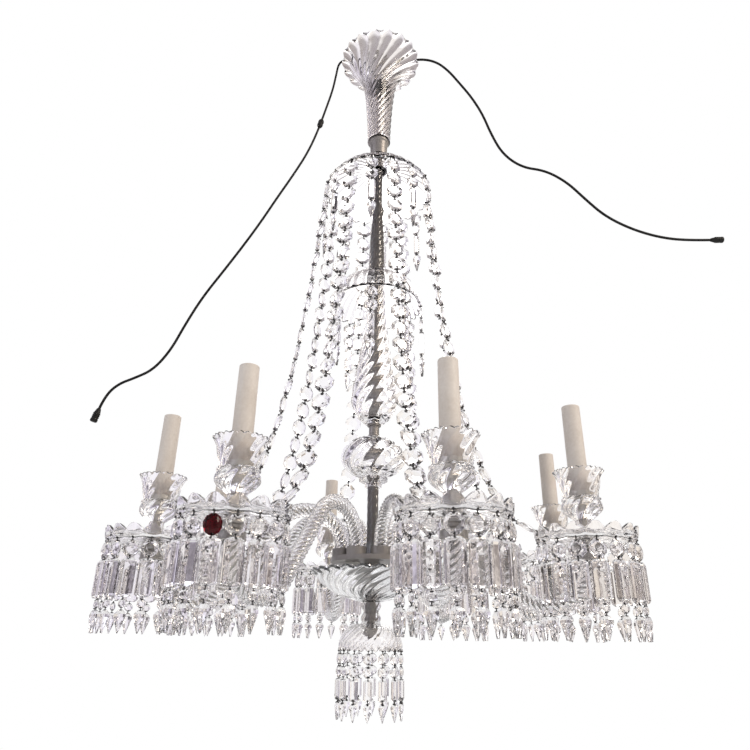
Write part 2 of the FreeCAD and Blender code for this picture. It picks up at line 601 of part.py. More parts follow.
def make_arm_ferrule():
    """Metal cap on the arm's outer end, with a neck and a flange that carries the drip pan."""
    bore = ARM_TUBE_RADIUS + ARM_FIT_CLEARANCE
    skirt_radius = bore + FERRULE_WALL
    skirt_z = arm_end_z - FERRULE_SKIRT
    cap_z = arm_end_z + FERRULE_CAP
    flange_z = ferrule_top_z - FERRULE_FLANGE_HEIGHT
    nipple_bore = NIPPLE_RADIUS + THREAD_CLEARANCE
    return turned([(bore, skirt_z), (skirt_radius, skirt_z), (skirt_radius, cap_z),
                   (FERRULE_NECK_RADIUS, cap_z), (FERRULE_NECK_RADIUS, flange_z),
                   (FERRULE_FLANGE_RADIUS, flange_z), (FERRULE_FLANGE_RADIUS, ferrule_top_z),
                   (nipple_bore, ferrule_top_z), (nipple_bore, arm_end_z), (bore, arm_end_z)])


# ---- Candle pieces, made at the axis and moved out to each arm ---------------------------------------
def make_drip_pan():
    """Glass pan with an upswept rim that the drops hang from."""
    bore = NIPPLE_RADIUS + GLASS_CLEARANCE
    flat_z = ferrule_top_z
    floor_z = flat_z + PAN_THICKNESS
    hub_foot_radius = CUP_FOOT_RADIUS + PAN_HUB_HEIGHT
    return turned([(bore, flat_z), (drop_circle, flat_z), (PAN_RADIUS, pan_rim_z),
                   (PAN_RADIUS - PAN_TIP_WIDTH, pan_rim_z), (PAN_FLAT_RADIUS, floor_z),
                   (hub_foot_radius, floor_z), (CUP_FOOT_RADIUS, pan_top_z), (bore, pan_top_z)])


def make_candle_cup():
    """Glass candle cup: a flared bowl over a bulb, a stem and a foot."""
    bore = NIPPLE_RADIUS + GLASS_CLEARANCE
    ledge_z = cup_floor_z - CUP_LEDGE_HEIGHT
    stem_z = ledge_z - CUP_BULB_HEIGHT
    foot_z = pan_top_z + CUP_FOOT_HEIGHT
    middle_z = cup_floor_z + CUP_BODY_HEIGHT * CUP_MIDDLE_HEIGHT
    middle_radius = CUP_BODY_RADIUS + (CUP_RIM_RADIUS - CUP_BODY_RADIUS) * CUP_MIDDLE_FLARE
    tip = (CUP_RIM_RADIUS, cup_rim_z)
    outer = [tip, (middle_radius, middle_z), (CUP_BODY_RADIUS, cup_floor_z)]
    inner = [(CUP_FLOOR_RADIUS, cup_floor_z), (middle_radius - CUP_WALL, middle_z),
             (CUP_RIM_RADIUS - CUP_WALL, cup_rim_z)]
    bulb = [(CUP_LEDGE_RADIUS - CUP_LEDGE_STEP, ledge_z),
            (CUP_BULB_RADIUS, ledge_z - CUP_BULB_HEIGHT * CUP_BULB_WIDEST), (CUP_STEM_RADIUS, stem_z)]
    edges = smooth(outer)
    edges += straight(outer[-1], (CUP_LEDGE_RADIUS, cup_floor_z), (CUP_LEDGE_RADIUS, ledge_z), bulb[0])
    edges += smooth(bulb)
    edges += straight(bulb[-1], (CUP_STEM_RADIUS, foot_z), (CUP_FOOT_RADIUS, foot_z),
                      (CUP_FOOT_RADIUS, pan_top_z), (bore, pan_top_z), (bore, cup_floor_z), inner[0])
    edges += smooth(inner)
    edges += straight(inner[-1], tip)
    return spun(edges)


def make_lamp_holder():
    """Lamp holder on its threaded nipple, which clamps the cup and pan to the ferrule."""
    foot_top_z = cup_floor_z + HOLDER_FOOT_HEIGHT
    socket_z = holder_top_z - SOCKET_BORE_DEPTH
    return turned([(NIPPLE_BORE_RADIUS, arm_end_z), (NIPPLE_RADIUS, arm_end_z), (NIPPLE_RADIUS, cup_floor_z),
                   (HOLDER_FOOT_RADIUS, cup_floor_z), (HOLDER_FOOT_RADIUS, foot_top_z),
                   (HOLDER_RADIUS, foot_top_z), (HOLDER_RADIUS, holder_top_z),
                   (SOCKET_BORE_RADIUS, holder_top_z), (SOCKET_BORE_RADIUS, socket_z),
                   (NIPPLE_BORE_RADIUS, socket_z)])


def make_candle_sleeve():
    """Loose candle tube that slips over the lamp holder."""
    inner = HOLDER_RADIUS + SLEEVE_CLEARANCE
    return turned([(inner, sleeve_foot_z), (SLEEVE_RADIUS, sleeve_foot_z),
                   (SLEEVE_RADIUS, sleeve_top_z - SLEEVE_EDGE), (inner, sleeve_top_z)])


# ---- Cut crystals, each made hanging from the origin --------------------------------------------------
def faceted(rings):
    """Solid between rings of equally many corners, closed by the first and last ring."""
    faces = [Part.Face(Part.makePolygon(ring + ring[:1])) for ring in (rings[0], rings[-1])]
    for lower, upper in zip(rings[:-1], rings[1:]):
        for index in range(len(lower)):
            after = (index + 1) % len(lower)
            corners = [lower[index], lower[after], upper[after], upper[index]]
            faces.append(Part.Face(Part.makePolygon(corners + corners[:1])))
    solid = Part.Solid(Part.Shell(faces))
    if solid.Volume < 0:
        solid.reverse()
    return solid


def with_pins(body, length, above, below):
    """The body with round wire pins that stand out of its two ends."""
    sunk = length * PIN_SUNK_SHARE
    if above > 0:
        body = body.fuse(Part.makeCylinder(PIN_RADIUS, above + sunk, Vector(0, 0, -sunk)))
    if below > 0:
        body = body.fuse(Part.makeCylinder(PIN_RADIUS, below + sunk, Vector(0, 0, -length - below)))
    return body


def cut_plate(width, height, thickness, above, below, corners=8):
    """Flat crystal with many corners, a wide table on both faces and bevels round it."""
    half_girdle = CRYSTAL_GIRDLE / 2
    levels = [(-0.5, CRYSTAL_TABLE), (-half_girdle, 1.0), (half_girdle, 1.0), (0.5, CRYSTAL_TABLE)]
    rings = []
    for level, share in levels:
        ring = []
        reach = share / (2 * math.cos(math.pi / corners))
        for index in range(corners):
            angle = 2 * math.pi * (index + 0.5) / corners
            ring.append(Vector(thickness * level, width * reach * math.sin(angle),
                               -height / 2 + height * reach * math.cos(angle)))
        rings.append(ring)
    return with_pins(faceted(rings), height, above, below)


def octagon(size, above, below):
    """Eight-sided chain crystal."""
    return cut_plate(size, size, size * CRYSTAL_ROUNDNESS, above, below)


def long_crystal(size, levels, above, below):
    """Long crystal with a few sides; levels are (share of the length, share of the width) pairs."""
    width, length, thickness = size
    half_step = math.pi / LONG_CRYSTAL_SIDES
    depth = thickness / 2 / math.cos(half_step)
    rings = []
    for level, share in levels:
        ring = []
        for index in range(LONG_CRYSTAL_SIDES):
            angle = (2 * index + 1) * half_step
            ring.append(Vector(depth * share * math.cos(angle), width / 2 * share * math.sin(angle),
                               -length * level))
        rings.append(ring)
    return with_pins(faceted(rings), length, above, below)


def prism(size, above, below):
    """Long flat bar with bevelled ends."""
    return long_crystal(size, PRISM_LEVELS, above, below)


def spear(size, above):
    """Leaf-shaped drop that ends a string."""
    return long_crystal(size, SPEAR_LEVELS, above, 0)


def string_of(crystals, rim_z, radius, angle_deg, turn_deg=0.0):
    """Placed crystals of one string below a rim; crystals are (shape, length) pairs."""
    hanging = []
    height = rim_z - HOOK_REACH
    for shape, length in crystals:
        lowered = shape.copy()
        lowered.translate(Vector(0, 0, height))
        hanging.append(around(lowered, radius, angle_deg, turn_deg))
        height -= length + LINK_LENGTH
    return hanging


hook_pin = HOOK_REACH - PIN_GAP
link_pin = (LINK_LENGTH - PIN_GAP) / 2


def dish_strings(rim_z, circle, crystals, count, phase):
    """All crystals of the strings round a dish's lip."""
    hanging = []
    for index in range(count):
        angle = FIRST_ARM_DEG + (index + phase) * 360.0 / count
        hanging += string_of(crystals, rim_z, circle, angle)
    return Part.makeCompound(hanging)


def dish_string():
    """Crystals of one string under the upper or the middle dish."""
    crystals = [(octagon(DISH_OCTAGON_SIZE, hook_pin, link_pin), DISH_OCTAGON_SIZE)]
    for _ in range(DISH_OCTAGON_ROWS - 1):
        crystals.append((octagon(DISH_OCTAGON_SIZE, link_pin, link_pin), DISH_OCTAGON_SIZE))
    crystals.append((prism(DISH_PRISM, link_pin, link_pin), DISH_PRISM[1]))
    crystals.append((spear(DISH_SPEAR, link_pin), DISH_SPEAR[1]))
    return crystals


def bottom_string():
    """Crystals of one string under the bottom dish."""
    return [(octagon(BOTTOM_OCTAGON_SIZE, hook_pin, link_pin), BOTTOM_OCTAGON_SIZE),
            (octagon(BOTTOM_OCTAGON_SIZE, link_pin, link_pin), BOTTOM_OCTAGON_SIZE),
            (prism(BOTTOM_PRISM, link_pin, link_pin), BOTTOM_PRISM[1]),
            (spear(BOTTOM_SPEAR, link_pin), BOTTOM_SPEAR[1])]


def pan_crystals():
    """Crystals round every drip pan, sorted by kind; the red one stands in for one clear octagon."""
    string = [(octagon(OCTAGON_SIZE, hook_pin, link_pin), OCTAGON_SIZE),
              (prism(PAN_PRISM, link_pin, link_pin), PAN_PRISM[1]),
              (octagon(PAN_BEAD_SIZE, link_pin, link_pin), PAN_BEAD_SIZE),
              (spear(PAN_SPEAR, link_pin), PAN_SPEAR[1])]
    red_pin = link_pin + (OCTAGON_SIZE - RED_CRYSTAL_HEIGHT)
    red = cut_plate(RED_CRYSTAL_WIDTH, RED_CRYSTAL_HEIGHT, RED_CRYSTAL_THICKNESS, hook_pin, red_pin,
                    RED_CRYSTAL_CORNERS)
    kinds = {"pan_octagons": [], "pan_prisms": [], "pan_beads": [], "pan_spears": [], "red_crystal": []}
    for arm in range(ARM_COUNT):
        for index in range(STRINGS):
            turn = STRING_TURN_DEG + index * 360.0 / STRINGS
            hung = string_of(string, ferrule_top_z, drop_circle, turn)
            if (arm, index) == (RED_ARM, RED_STRING):
                red_hung = string_of([(red, RED_CRYSTAL_HEIGHT)], ferrule_top_z, drop_circle, turn)
                kinds["red_crystal"].append(placed_on_arm(red_hung[0], arm))
            else:
                kinds["pan_octagons"].append(placed_on_arm(hung[0], arm))
            for kind, shape in zip(("pan_prisms", "pan_beads", "pan_spears"), hung[1:]):
                kinds[kind].append(placed_on_arm(shape, arm))
    return {kind: Part.makeCompound(shapes) for kind, shapes in kinds.items()}


def placed_on_arm(shape, arm):
    """A shape made round the main axis, moved out to an arm's candle with its X axis outward."""
    return around(shape, ARM_RING_RADIUS, arm_angle(arm), 90.0)


# ---- Chains ---------------------------------------------------------------------------------------------
def chain_joints():
    """Points a pitch apart along the chain's hanging curve, from the upper dish to the pan, as (r, z)."""
    top = (chain_top_circle, upper_rim_z - PIN_GAP / 2)
    foot = (chain_foot_circle, pan_rim_z + PIN_GAP)
    across = foot[0] - top[0]
    fall = top[1] - foot[1]
    length = math.hypot(across, fall) * CHAIN_SLACK
    count = max(round(length / CHAIN_PITCH), 2)
    target = math.sqrt(length ** 2 - fall ** 2)
    low = across / CURVE_SEARCH_SPAN
    high = across * CURVE_SEARCH_SPAN
    for _ in range(CURVE_SEARCH_STEPS):
        scale = (low + high) / 2
        if 2 * scale * math.sinh(across / (2 * scale)) > target:
            low = scale
        else:
            high = scale
    middle = scale * math.asinh(fall / (2 * scale * math.sinh(across / (2 * scale))))
    lowest = across / 2 + middle
    joints = []
    start = math.sinh(-lowest / scale)
    for step in range(count + 1):
        along = start + length * step / count / scale
        offset = scale * math.asinh(along)
        height = scale * (math.cosh(offset / scale) - math.cosh(lowest / scale))
        joints.append((top[0] + lowest + offset, top[1] + height))
    return joints


def make_chain(joints):
    """One crystal chain in the XZ plane: octagons joined by wire pins."""
    links = []
    for (r_top, z_top), (r_foot, z_foot) in zip(joints[:-1], joints[1:]):
        span = math.hypot(r_foot - r_top, z_foot - z_top)
        pin = (span - CHAIN_OCTAGON_SIZE - PIN_GAP) / 2
        link = octagon(CHAIN_OCTAGON_SIZE, pin, pin)
        link.translate(Vector(0, 0, -pin - PIN_GAP / 2))
        lean = math.degrees(math.atan2(r_foot - r_top, z_top - z_foot))
        link.rotate(CENTRE, Vector(0, -1, 0), lean)
        link.translate(point(r_top, z_top))
        links.append(link)
    return Part.makeCompound(links)


# ---- Supply leads ----------------------------------------------------------------------------------------
def lead_route(points, side):
    """Route of a lead from its end on the cord grip, as vectors."""
    start = Vector(side * LEAD_EXIT, 0, eye_shank_foot_z)
    return [start] + [Vector(x, 0, z) for x, z in points]


def lead_path(route, name):
    """Straight runs joined by tangent arcs; the bend radii are printed."""
    edges = []
    here = route[0]
    radii = []
    for before, corner, after in zip(route[:-2], route[1:-1], route[2:]):
        arriving = (corner - before).normalize()
        leaving = (after - corner).normalize()
        reach = BEND_SHARE * min(before.distanceToPoint(corner), corner.distanceToPoint(after))
        turn = arriving.getAngle(leaving)
        radius = reach / math.tan(turn / 2)
        radii.append(radius)
        entry = corner - arriving * reach
        leave = corner + leaving * reach
        inward = (leaving - arriving).normalize()
        middle = corner + inward * (radius / math.cos(turn / 2) - radius)
        edges.append(Part.LineSegment(here, entry).toShape())
        edges.append(Part.Arc(entry, middle, leave).toShape())
        here = leave
    edges.append(Part.LineSegment(here, route[-1]).toShape())
    print(name, "tightest bend radius", round(min(radii), 1), "all", [round(r) for r in radii])
    return Part.Wire(edges)


def make_lead(route, diameter, name):
    """One free supply lead."""
    path = lead_path(route, name)
    lead = tube_along(path, diameter / 2, route[0], route[1] - route[0])
    expected = path.Length * math.pi * diameter ** 2 / 4
    print(name, "length", round(path.Length, 1), "volume over expected", round(lead.Volume / expected, 5))
    return lead


def barrel(start, direction, radius, length):
    """Round block along a lead."""
    return Part.makeCylinder(radius, length, start, direction)


def make_lead_connectors(left_route, right_route, left_lead):
    """Inline switch on the left lead and a plug at the far end of each lead."""
    run_start = left_route[SWITCH_RUN - 1]
    run = left_route[SWITCH_RUN] - run_start
    along = Vector(run).normalize()
    switch_start = run_start + run * 0.5 - along * (SWITCH_LENGTH / 2)
    switch = barrel(switch_start, along, SWITCH_RADIUS, SWITCH_LENGTH).cut(left_lead)
    left_plug = barrel(left_route[-1], left_route[-1] - left_route[-2], PLUG_RADIUS, PLUG_LENGTH)
    right_plug = barrel(right_route[-1], right_route[-1] - right_route[-2], PLUG_RADIUS, PLUG_LENGTH)
    return Part.makeCompound([switch, left_plug, right_plug])


# ---- Write every node -------------------------------------------------------------------------------------
os.makedirs("parts", exist_ok=True)

nodes = {
    "hanging_eye": make_hanging_eye(),
    "central_rod": make_central_rod(),
    "rod_cable": make_rod_cable(),
    "cord_grip": make_cord_grip(),
    "canopy": make_canopy(),
    "canopy_collar": make_canopy_collar(),
    "upper_dish": make_dish(upper_dish_top_z, UPPER_DISH_HUB_RADIUS, UPPER_DISH_HUB_HEIGHT,
                            UPPER_DISH_RADIUS, UPPER_DISH_DROP, UPPER_DISH_BULGE, UPPER_DISH_WALL),
    "upper_column": make_upper_column(),
    "middle_dish": make_dish(middle_dish_top_z, MIDDLE_DISH_HUB_RADIUS, MIDDLE_DISH_HUB_HEIGHT,
                             MIDDLE_DISH_RADIUS, MIDDLE_DISH_DROP, MIDDLE_DISH_BULGE, MIDDLE_DISH_WALL),
    "vase": make_vase(),
    "ball_collar": make_ball_collar(),
    "ball": make_ball(),
    "ball_dish": make_ball_dish(),
    "lower_column": make_lower_column(),
    "arm_plate": make_arm_plate(),
    "terminal_block": make_terminal_block(),
    "receiver_bowl": make_receiver_bowl(),
    "bowl_neck": make_bowl_neck(),
    "bottom_dish": make_dish(bottom_dish_top_z, BOTTOM_DISH_HUB_RADIUS, BOTTOM_DISH_HUB_HEIGHT,
                             BOTTOM_DISH_RADIUS, BOTTOM_DISH_DROP, BOTTOM_DISH_BULGE, BOTTOM_DISH_WALL),
    "bottom_nut": make_bottom_nut(),
    "arm_ferrules": arm_group(make_arm_ferrule()),
    "drip_pans": arm_group(make_drip_pan()),
    "candle_cups": arm_group(make_candle_cup()),
    "lamp_holders": arm_group(make_lamp_holder()),
    "upper_dish_drops": dish_strings(upper_rim_z, chain_top_circle, dish_string(), STRINGS,
                                     DISH_STRING_PHASE),
    "middle_dish_drops": dish_strings(middle_rim_z, MIDDLE_DISH_RADIUS - DISH_LIP / 2, dish_string(), STRINGS,
                                      DISH_STRING_PHASE),
    "bottom_dish_drops": dish_strings(bottom_rim_z, BOTTOM_DISH_RADIUS - DISH_LIP / 2, bottom_string(),
                                      BOTTOM_STRINGS, BOTTOM_STRING_PHASE),
}
nodes.update(pan_crystals())

arm_line = arm_path()
arm_shape = make_arm(arm_line)
arm_cable_shape = make_arm_cable(arm_line)
sleeve_shape = make_candle_sleeve()
chain_shape = make_chain(chain_joints())
for arm in range(ARM_COUNT):
    number = str(arm + 1)
    nodes["arm_" + number] = around(arm_shape, 0, arm_angle(arm))
    nodes["candle_sleeve_" + number] = around(sleeve_shape, ARM_RING_RADIUS, arm_angle(arm))
    nodes["chain_" + number] = around(chain_shape, 0, arm_angle(arm))
nodes["arm_cables"] = Part.makeCompound([around(arm_cable_shape, 0, arm_angle(i)) for i in range(ARM_COUNT)])

left_route = lead_route(LEFT_ROUTE, -1)
right_route = lead_route(RIGHT_ROUTE, 1)
nodes["left_lead"] = make_lead(left_route, LEFT_LEAD_DIAMETER, "left_lead")
nodes["right_lead"] = make_lead(right_route, RIGHT_LEAD_DIAMETER, "right_lead")
nodes["lead_connectors"] = make_lead_connectors(left_route, right_route, nodes["left_lead"])

for node, shape in nodes.items():
    export(shape, node)

lowest = Part.makeCompound(list(nodes.values())).BoundBox.ZMin
print("nodes", len(nodes))
print("from the canopy's rim to the lowest drop", round(canopy_rim_z - lowest, 1))
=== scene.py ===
"""Looks of an eight-light crystal chandelier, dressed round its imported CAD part.

The frame is the CAD's: metres, +Z up, the origin in the bore of the hanging eye. Sizes in this file are
millimetres, as in the part's source, and become metres where a mesh is made. Angles round the rod run
from straight ahead (-Y) towards +X.
"""

import logging
import math
import random
from dataclasses import dataclass, field
from enum import Enum
from typing import Iterable, Sequence

import bmesh
import bpy
import numpy as np
from mathutils import Matrix, Vector


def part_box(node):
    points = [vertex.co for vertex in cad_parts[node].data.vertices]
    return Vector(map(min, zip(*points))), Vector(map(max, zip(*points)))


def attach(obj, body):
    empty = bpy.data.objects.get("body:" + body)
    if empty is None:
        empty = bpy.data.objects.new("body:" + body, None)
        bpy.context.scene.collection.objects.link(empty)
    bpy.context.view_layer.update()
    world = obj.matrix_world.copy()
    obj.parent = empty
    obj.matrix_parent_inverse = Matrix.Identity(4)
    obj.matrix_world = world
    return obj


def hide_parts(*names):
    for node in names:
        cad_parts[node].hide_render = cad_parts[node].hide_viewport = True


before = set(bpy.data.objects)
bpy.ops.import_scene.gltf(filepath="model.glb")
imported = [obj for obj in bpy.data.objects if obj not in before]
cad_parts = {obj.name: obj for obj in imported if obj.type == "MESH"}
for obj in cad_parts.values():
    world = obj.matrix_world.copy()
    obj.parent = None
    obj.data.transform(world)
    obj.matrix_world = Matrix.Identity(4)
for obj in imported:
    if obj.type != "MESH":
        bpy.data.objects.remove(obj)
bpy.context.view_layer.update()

LOG = logging.getLogger("chandelier")
MM = 0.001
Pair = tuple[float, float]
Colour = tuple[float, float, float]
Tree = bpy.types.NodeTree
Node = bpy.types.Node
Socket = bpy.types.NodeSocket
Piece = bpy.types.Object
Material = bpy.types.Material

ARM_COUNT = 8
FIRST_ARM = math.radians(15.8)
ARM_STEP = 2 * math.pi / ARM_COUNT
ARM_RING = 322.5                # radius of the candles' circle
COVER_RADIUS = 7.4              # tube over the rod
GLASS_BORE = 7.7                # bore of the blown pieces, clear of the tube
FULL_BORE = 7.35                # bore of the two solid columns, tight on the tube
ROD_FIT = 5.9                   # bore of the neck under the bowl, tight on the bare rod
SHARP_EDGE = math.radians(38)
SOFT_EDGE = math.radians(60)
WHITE = (1.0, 1.0, 1.0, 1.0)
RIM_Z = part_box("canopy")[1].z / MM


def level(depth: float) -> float:
    """Height, in millimetres, at a depth below the canopy's rim."""
    return RIM_Z - depth


PAN_Z = level(1067.0)           # underside of the drip pans, where their strings hang


class Body(Enum):
    """Bodies of the CAD part; the moving ones carry a number."""

    FRAME = "frame"
    SLEEVE = "sleeve_"
    CHAIN = "chain_"


class Slot(Enum):
    """Material slots of the record."""

    BLOWN = "blown_crystal"
    CUT = "cut_crystal"
    RED = "dark_red_crystal"
    METAL = "grey_metal"
    CREAM = "candle_cream"
    LEAD = "lead_black"
    CONNECTOR = "connector_black"
    CABLE = "cable_white"
    TERMINAL = "terminal_white"


# ---- Node tools ------------------------------------------------------------------------------------
def add(tree: Tree, kind: str, inputs: dict | None = None, **settings) -> Node:
    """Add a node to a tree.

    Args:
        tree: shader or geometry node tree.
        kind: Blender's name of the node type.
        inputs: sockets to link or numbers to set, by input name or index.
        settings: the node's own properties.

    Returns:
        The new node.
    """
    node = tree.nodes.new(kind)
    for key, value in settings.items():
        setattr(node, key, value)
    for key, value in (inputs or {}).items():
        if isinstance(value, Socket):
            tree.links.new(value, node.inputs[key])
        else:
            node.inputs[key].default_value = value
    return node


def calc(tree: Tree, operation: str, *values) -> Socket:
    """Output of a Math node with the given operation and inputs."""
    return add(tree, "ShaderNodeMath", dict(enumerate(values)), operation=operation).outputs[0]


def calc_vector(tree: Tree, operation: str, **inputs) -> Socket:
    """Output of a Vector Math node; inputs are a, b and scale."""
    places = {"a": 0, "b": 1, "scale": 3}
    given = {places[key]: value for key, value in inputs.items()}
    return add(tree, "ShaderNodeVectorMath", given, operation=operation).outputs[0]


def ramp(tree: Tree, factor: Socket, stops: Sequence[tuple]) -> Socket:
    """Colour of a Color Ramp whose stops are (position, colour) pairs.

    Args:
        tree: shader tree.
        factor: what the colour follows.
        stops: (position, colour) pairs.

    Returns:
        The colour's socket.
    """
    node = add(tree, "ShaderNodeValToRGB", {"Fac": factor})
    elements = node.color_ramp.elements
    while len(elements) < len(stops):
        elements.new(0.5)
    for element, (place, colour) in zip(elements, stops):
        element.position = place
        element.color = (*colour, 1.0)
    return node.outputs["Color"]


def sockets(tree: Tree, inputs: dict, outputs: dict) -> tuple[Node, Node]:
    """Give a group its sockets.

    Args:
        tree: the node group.
        inputs: socket kind, or (kind, default), by name.
        outputs: socket kind by name.

    Returns:
        The group's input node and output node.
    """
    for name, kind in inputs.items():
        kind, default = kind if isinstance(kind, tuple) else (kind, None)
        made = tree.interface.new_socket(name=name, in_out="INPUT", socket_type="NodeSocket" + kind)
        if default is not None:
            made.default_value = default
    for name, kind in outputs.items():
        tree.interface.new_socket(name=name, in_out="OUTPUT", socket_type="NodeSocket" + kind)
    return add(tree, "NodeGroupInput"), add(tree, "NodeGroupOutput")


# ---- Shared shader groups --------------------------------------------------------------------------
def mottle_group() -> Tree:
    """Group that varies a colour and a roughness in soft clouds and fine specks, and gives a height.

    Returns:
        The node group, with inputs Colour, Worn Colour, Roughness, Spread, Scale and Specks, and outputs
        Color, Roughness and Height.
    """
    tree = bpy.data.node_groups.new("Mottle", "ShaderNodeTree")
    source, sink = sockets(
        tree,
        {"Colour": "Color", "Worn Colour": "Color", "Roughness": ("Float", 0.4), "Spread": ("Float", 0.1),
         "Scale": ("Float", 60.0), "Specks": ("Float", 0.3)},
        {"Color": "Color", "Roughness": "Float", "Height": "Float"})
    place = add(tree, "ShaderNodeTexCoord").outputs["Object"]
    clouds = add(tree, "ShaderNodeTexNoise", {"Vector": place, "Scale": source.outputs["Scale"],
                                              "Detail": 4.0, "Roughness": 0.6}).outputs[0]
    fine_scale = calc(tree, "MULTIPLY", source.outputs["Scale"], 14.0)
    fine = add(tree, "ShaderNodeTexNoise", {"Vector": place, "Scale": fine_scale, "Detail": 2.0}).outputs[0]
    speck = calc(tree, "MULTIPLY", calc(tree, "SUBTRACT", fine, 0.5), source.outputs["Specks"])
    worn = calc(tree, "ADD", clouds, speck)
    worn = add(tree, "ShaderNodeMapRange", {"Value": worn, "From Min": 0.35, "From Max": 0.7}).outputs[0]
    colour = add(tree, "ShaderNodeMix", {"Factor": worn}, data_type="RGBA")
    tree.links.new(source.outputs["Colour"], colour.inputs[6])
    tree.links.new(source.outputs["Worn Colour"], colour.inputs[7])
    swing = calc(tree, "MULTIPLY", calc(tree, "SUBTRACT", worn, 0.5), source.outputs["Spread"])
    tree.links.new(colour.outputs[2], sink.inputs["Color"])
    tree.links.new(calc(tree, "ADD", source.outputs["Roughness"], swing), sink.inputs["Roughness"])
    tree.links.new(fine, sink.inputs["Height"])
    return tree


def ripple_group() -> Tree:
    """Group for the slow waves and faint handling film of old glass.

    Returns:
        The node group, with inputs Tint, Second Tint, Scale and Film, and outputs Color, Roughness, Height.
    """
    tree = bpy.data.node_groups.new("Ripple", "ShaderNodeTree")
    source, sink = sockets(
        tree,
        {"Tint": "Color", "Second Tint": "Color", "Scale": ("Float", 40.0), "Film": ("Float", 0.02)},
        {"Color": "Color", "Roughness": "Float", "Height": "Float"})
    place = add(tree, "ShaderNodeTexCoord").outputs["Object"]
    waves = add(tree, "ShaderNodeTexNoise", {"Vector": place, "Scale": source.outputs["Scale"],
                                             "Detail": 1.5, "Roughness": 0.4}).outputs[0]
    broad_scale = calc(tree, "MULTIPLY", source.outputs["Scale"], 0.12)
    broad = add(tree, "ShaderNodeTexNoise", {"Vector": place, "Scale": broad_scale, "Detail": 3.0}).outputs[0]
    shift = add(tree, "ShaderNodeMapRange", {"Value": broad, "From Min": 0.35, "From Max": 0.65}).outputs[0]
    colour = add(tree, "ShaderNodeMix", {"Factor": shift}, data_type="RGBA")
    tree.links.new(source.outputs["Tint"], colour.inputs[6])
    tree.links.new(source.outputs["Second Tint"], colour.inputs[7])
    film = calc(tree, "MULTIPLY", shift, source.outputs["Film"])
    tree.links.new(colour.outputs[2], sink.inputs["Color"])
    tree.links.new(film, sink.inputs["Roughness"])
    tree.links.new(waves, sink.inputs["Height"])
    return tree


def feed(shader: Node, tree: Tree, group_tree: Tree, values: dict, strength: float, height: float) -> None:
    """Feed a Principled shader's colour, roughness and normal from a shared group.

    Args:
        shader: the material's Principled shader.
        tree: the material's tree.
        group_tree: the shared group.
        values: a colour or a number for each of the group's inputs.
        strength: strength of the bump.
        height: full height of the bump, in metres.
    """
    group = add(tree, "ShaderNodeGroup", node_tree=group_tree)
    for name, value in values.items():
        group.inputs[name].default_value = (*value, 1.0) if isinstance(value, tuple) else value
    bump = add(tree, "ShaderNodeBump", {"Height": group.outputs["Height"], "Strength": strength,
                                        "Distance": height})
    tree.links.new(group.outputs["Color"], shader.inputs["Base Color"])
    tree.links.new(group.outputs["Roughness"], shader.inputs["Roughness"])
    tree.links.new(bump.outputs["Normal"], shader.inputs["Normal"])


# ---- Finishes --------------------------------------------------------------------------------------
@dataclass(frozen=True)
class Glass:
    """Polished lead crystal: clear or coloured through, with slow waves in its surface."""

    name: str
    slot: Slot
    tint: Colour
    second_tint: Colour
    index: float = 1.57
    wave_scale: float = 60.0
    wave_strength: float = 0.05
    wave_height: float = 0.002
    film: float = 0.015

    def material(self, library: "Library") -> Material:
        """The glass as a material.

        Args:
            library: holds the shared groups.

        Returns:
            The material.
        """
        material, tree, shader = library.blank(self.name)
        values = {"Tint": self.tint, "Second Tint": self.second_tint, "Scale": self.wave_scale,
                  "Film": self.film}
        feed(shader, tree, library.ripple, values, self.wave_strength, self.wave_height)
        shader.inputs["Transmission Weight"].default_value = 1.0
        shader.inputs["IOR"].default_value = self.index
        return material


@dataclass(frozen=True)
class Opaque:
    """Metal, card, rubber or moulded plastic with clouded colour and a fine grain."""

    name: str
    slot: Slot
    colour: Colour
    worn_colour: Colour
    roughness: float
    metallic: float = 0.0
    spread: float = 0.12
    scale: float = 60.0
    specks: float = 0.3
    grain: float = 0.08
    grain_height: float = 0.0004
    shine: float = 0.5

    def material(self, library: "Library") -> Material:
        """The finish as a material.

        Args:
            library: holds the shared groups.

        Returns:
            The material.
        """
        material, tree, shader = library.blank(self.name)
        values = {"Colour": self.colour, "Worn Colour": self.worn_colour, "Roughness": self.roughness,
                  "Spread": self.spread, "Scale": self.scale, "Specks": self.specks}
        feed(shader, tree, library.mottle, values, self.grain, self.grain_height)
        shader.inputs["Metallic"].default_value = self.metallic
        shader.inputs["Specular IOR Level"].default_value = self.shine
        return material


Finish = Glass | Opaque
CLEAR = (0.97, 0.965, 0.975)
WARM_CLEAR = (0.985, 0.975, 0.965)
BLOWN_GLASS = Glass("blown_crystal", Slot.BLOWN, CLEAR, WARM_CLEAR, wave_strength=0.12)
TWIST_GLASS = Glass("twisted_crystal", Slot.BLOWN, (0.965, 0.96, 0.975), (0.98, 0.97, 0.96), index=1.6,
                    wave_scale=240.0, wave_strength=0.4)
CUT_GLASS = Glass("cut_crystal", Slot.CUT, CLEAR, (0.985, 0.978, 0.965), index=1.6, wave_scale=110.0,
                  wave_strength=0.03, film=0.008)
RED_GLASS = Glass("dark_red_crystal", Slot.RED, (0.06, 0.0014, 0.004), (0.11, 0.0025, 0.007), index=1.3,
                  wave_strength=0.03)
# Blue-grey tint: painted shade, a darker copy of the blown crystal standing in for the dark reflections in the
# bowl's ribs.
SHADED_BOWL_GLASS = Glass("shaded_bowl_crystal", Slot.BLOWN, (0.87, 0.885, 0.905), (0.92, 0.92, 0.925), index=1.68,
                   wave_strength=0.1)
# Lilac-grey tint: painted shade, a darker copy of the cut crystal standing in for the greyer surroundings seen
# through the pan drops.
SHADED_CUT_GLASS = Glass("shaded_cut_crystal", Slot.CUT, (0.93, 0.915, 0.935), (0.95, 0.935, 0.915), index=1.68,
                   wave_scale=110.0, wave_strength=0.03, film=0.008)
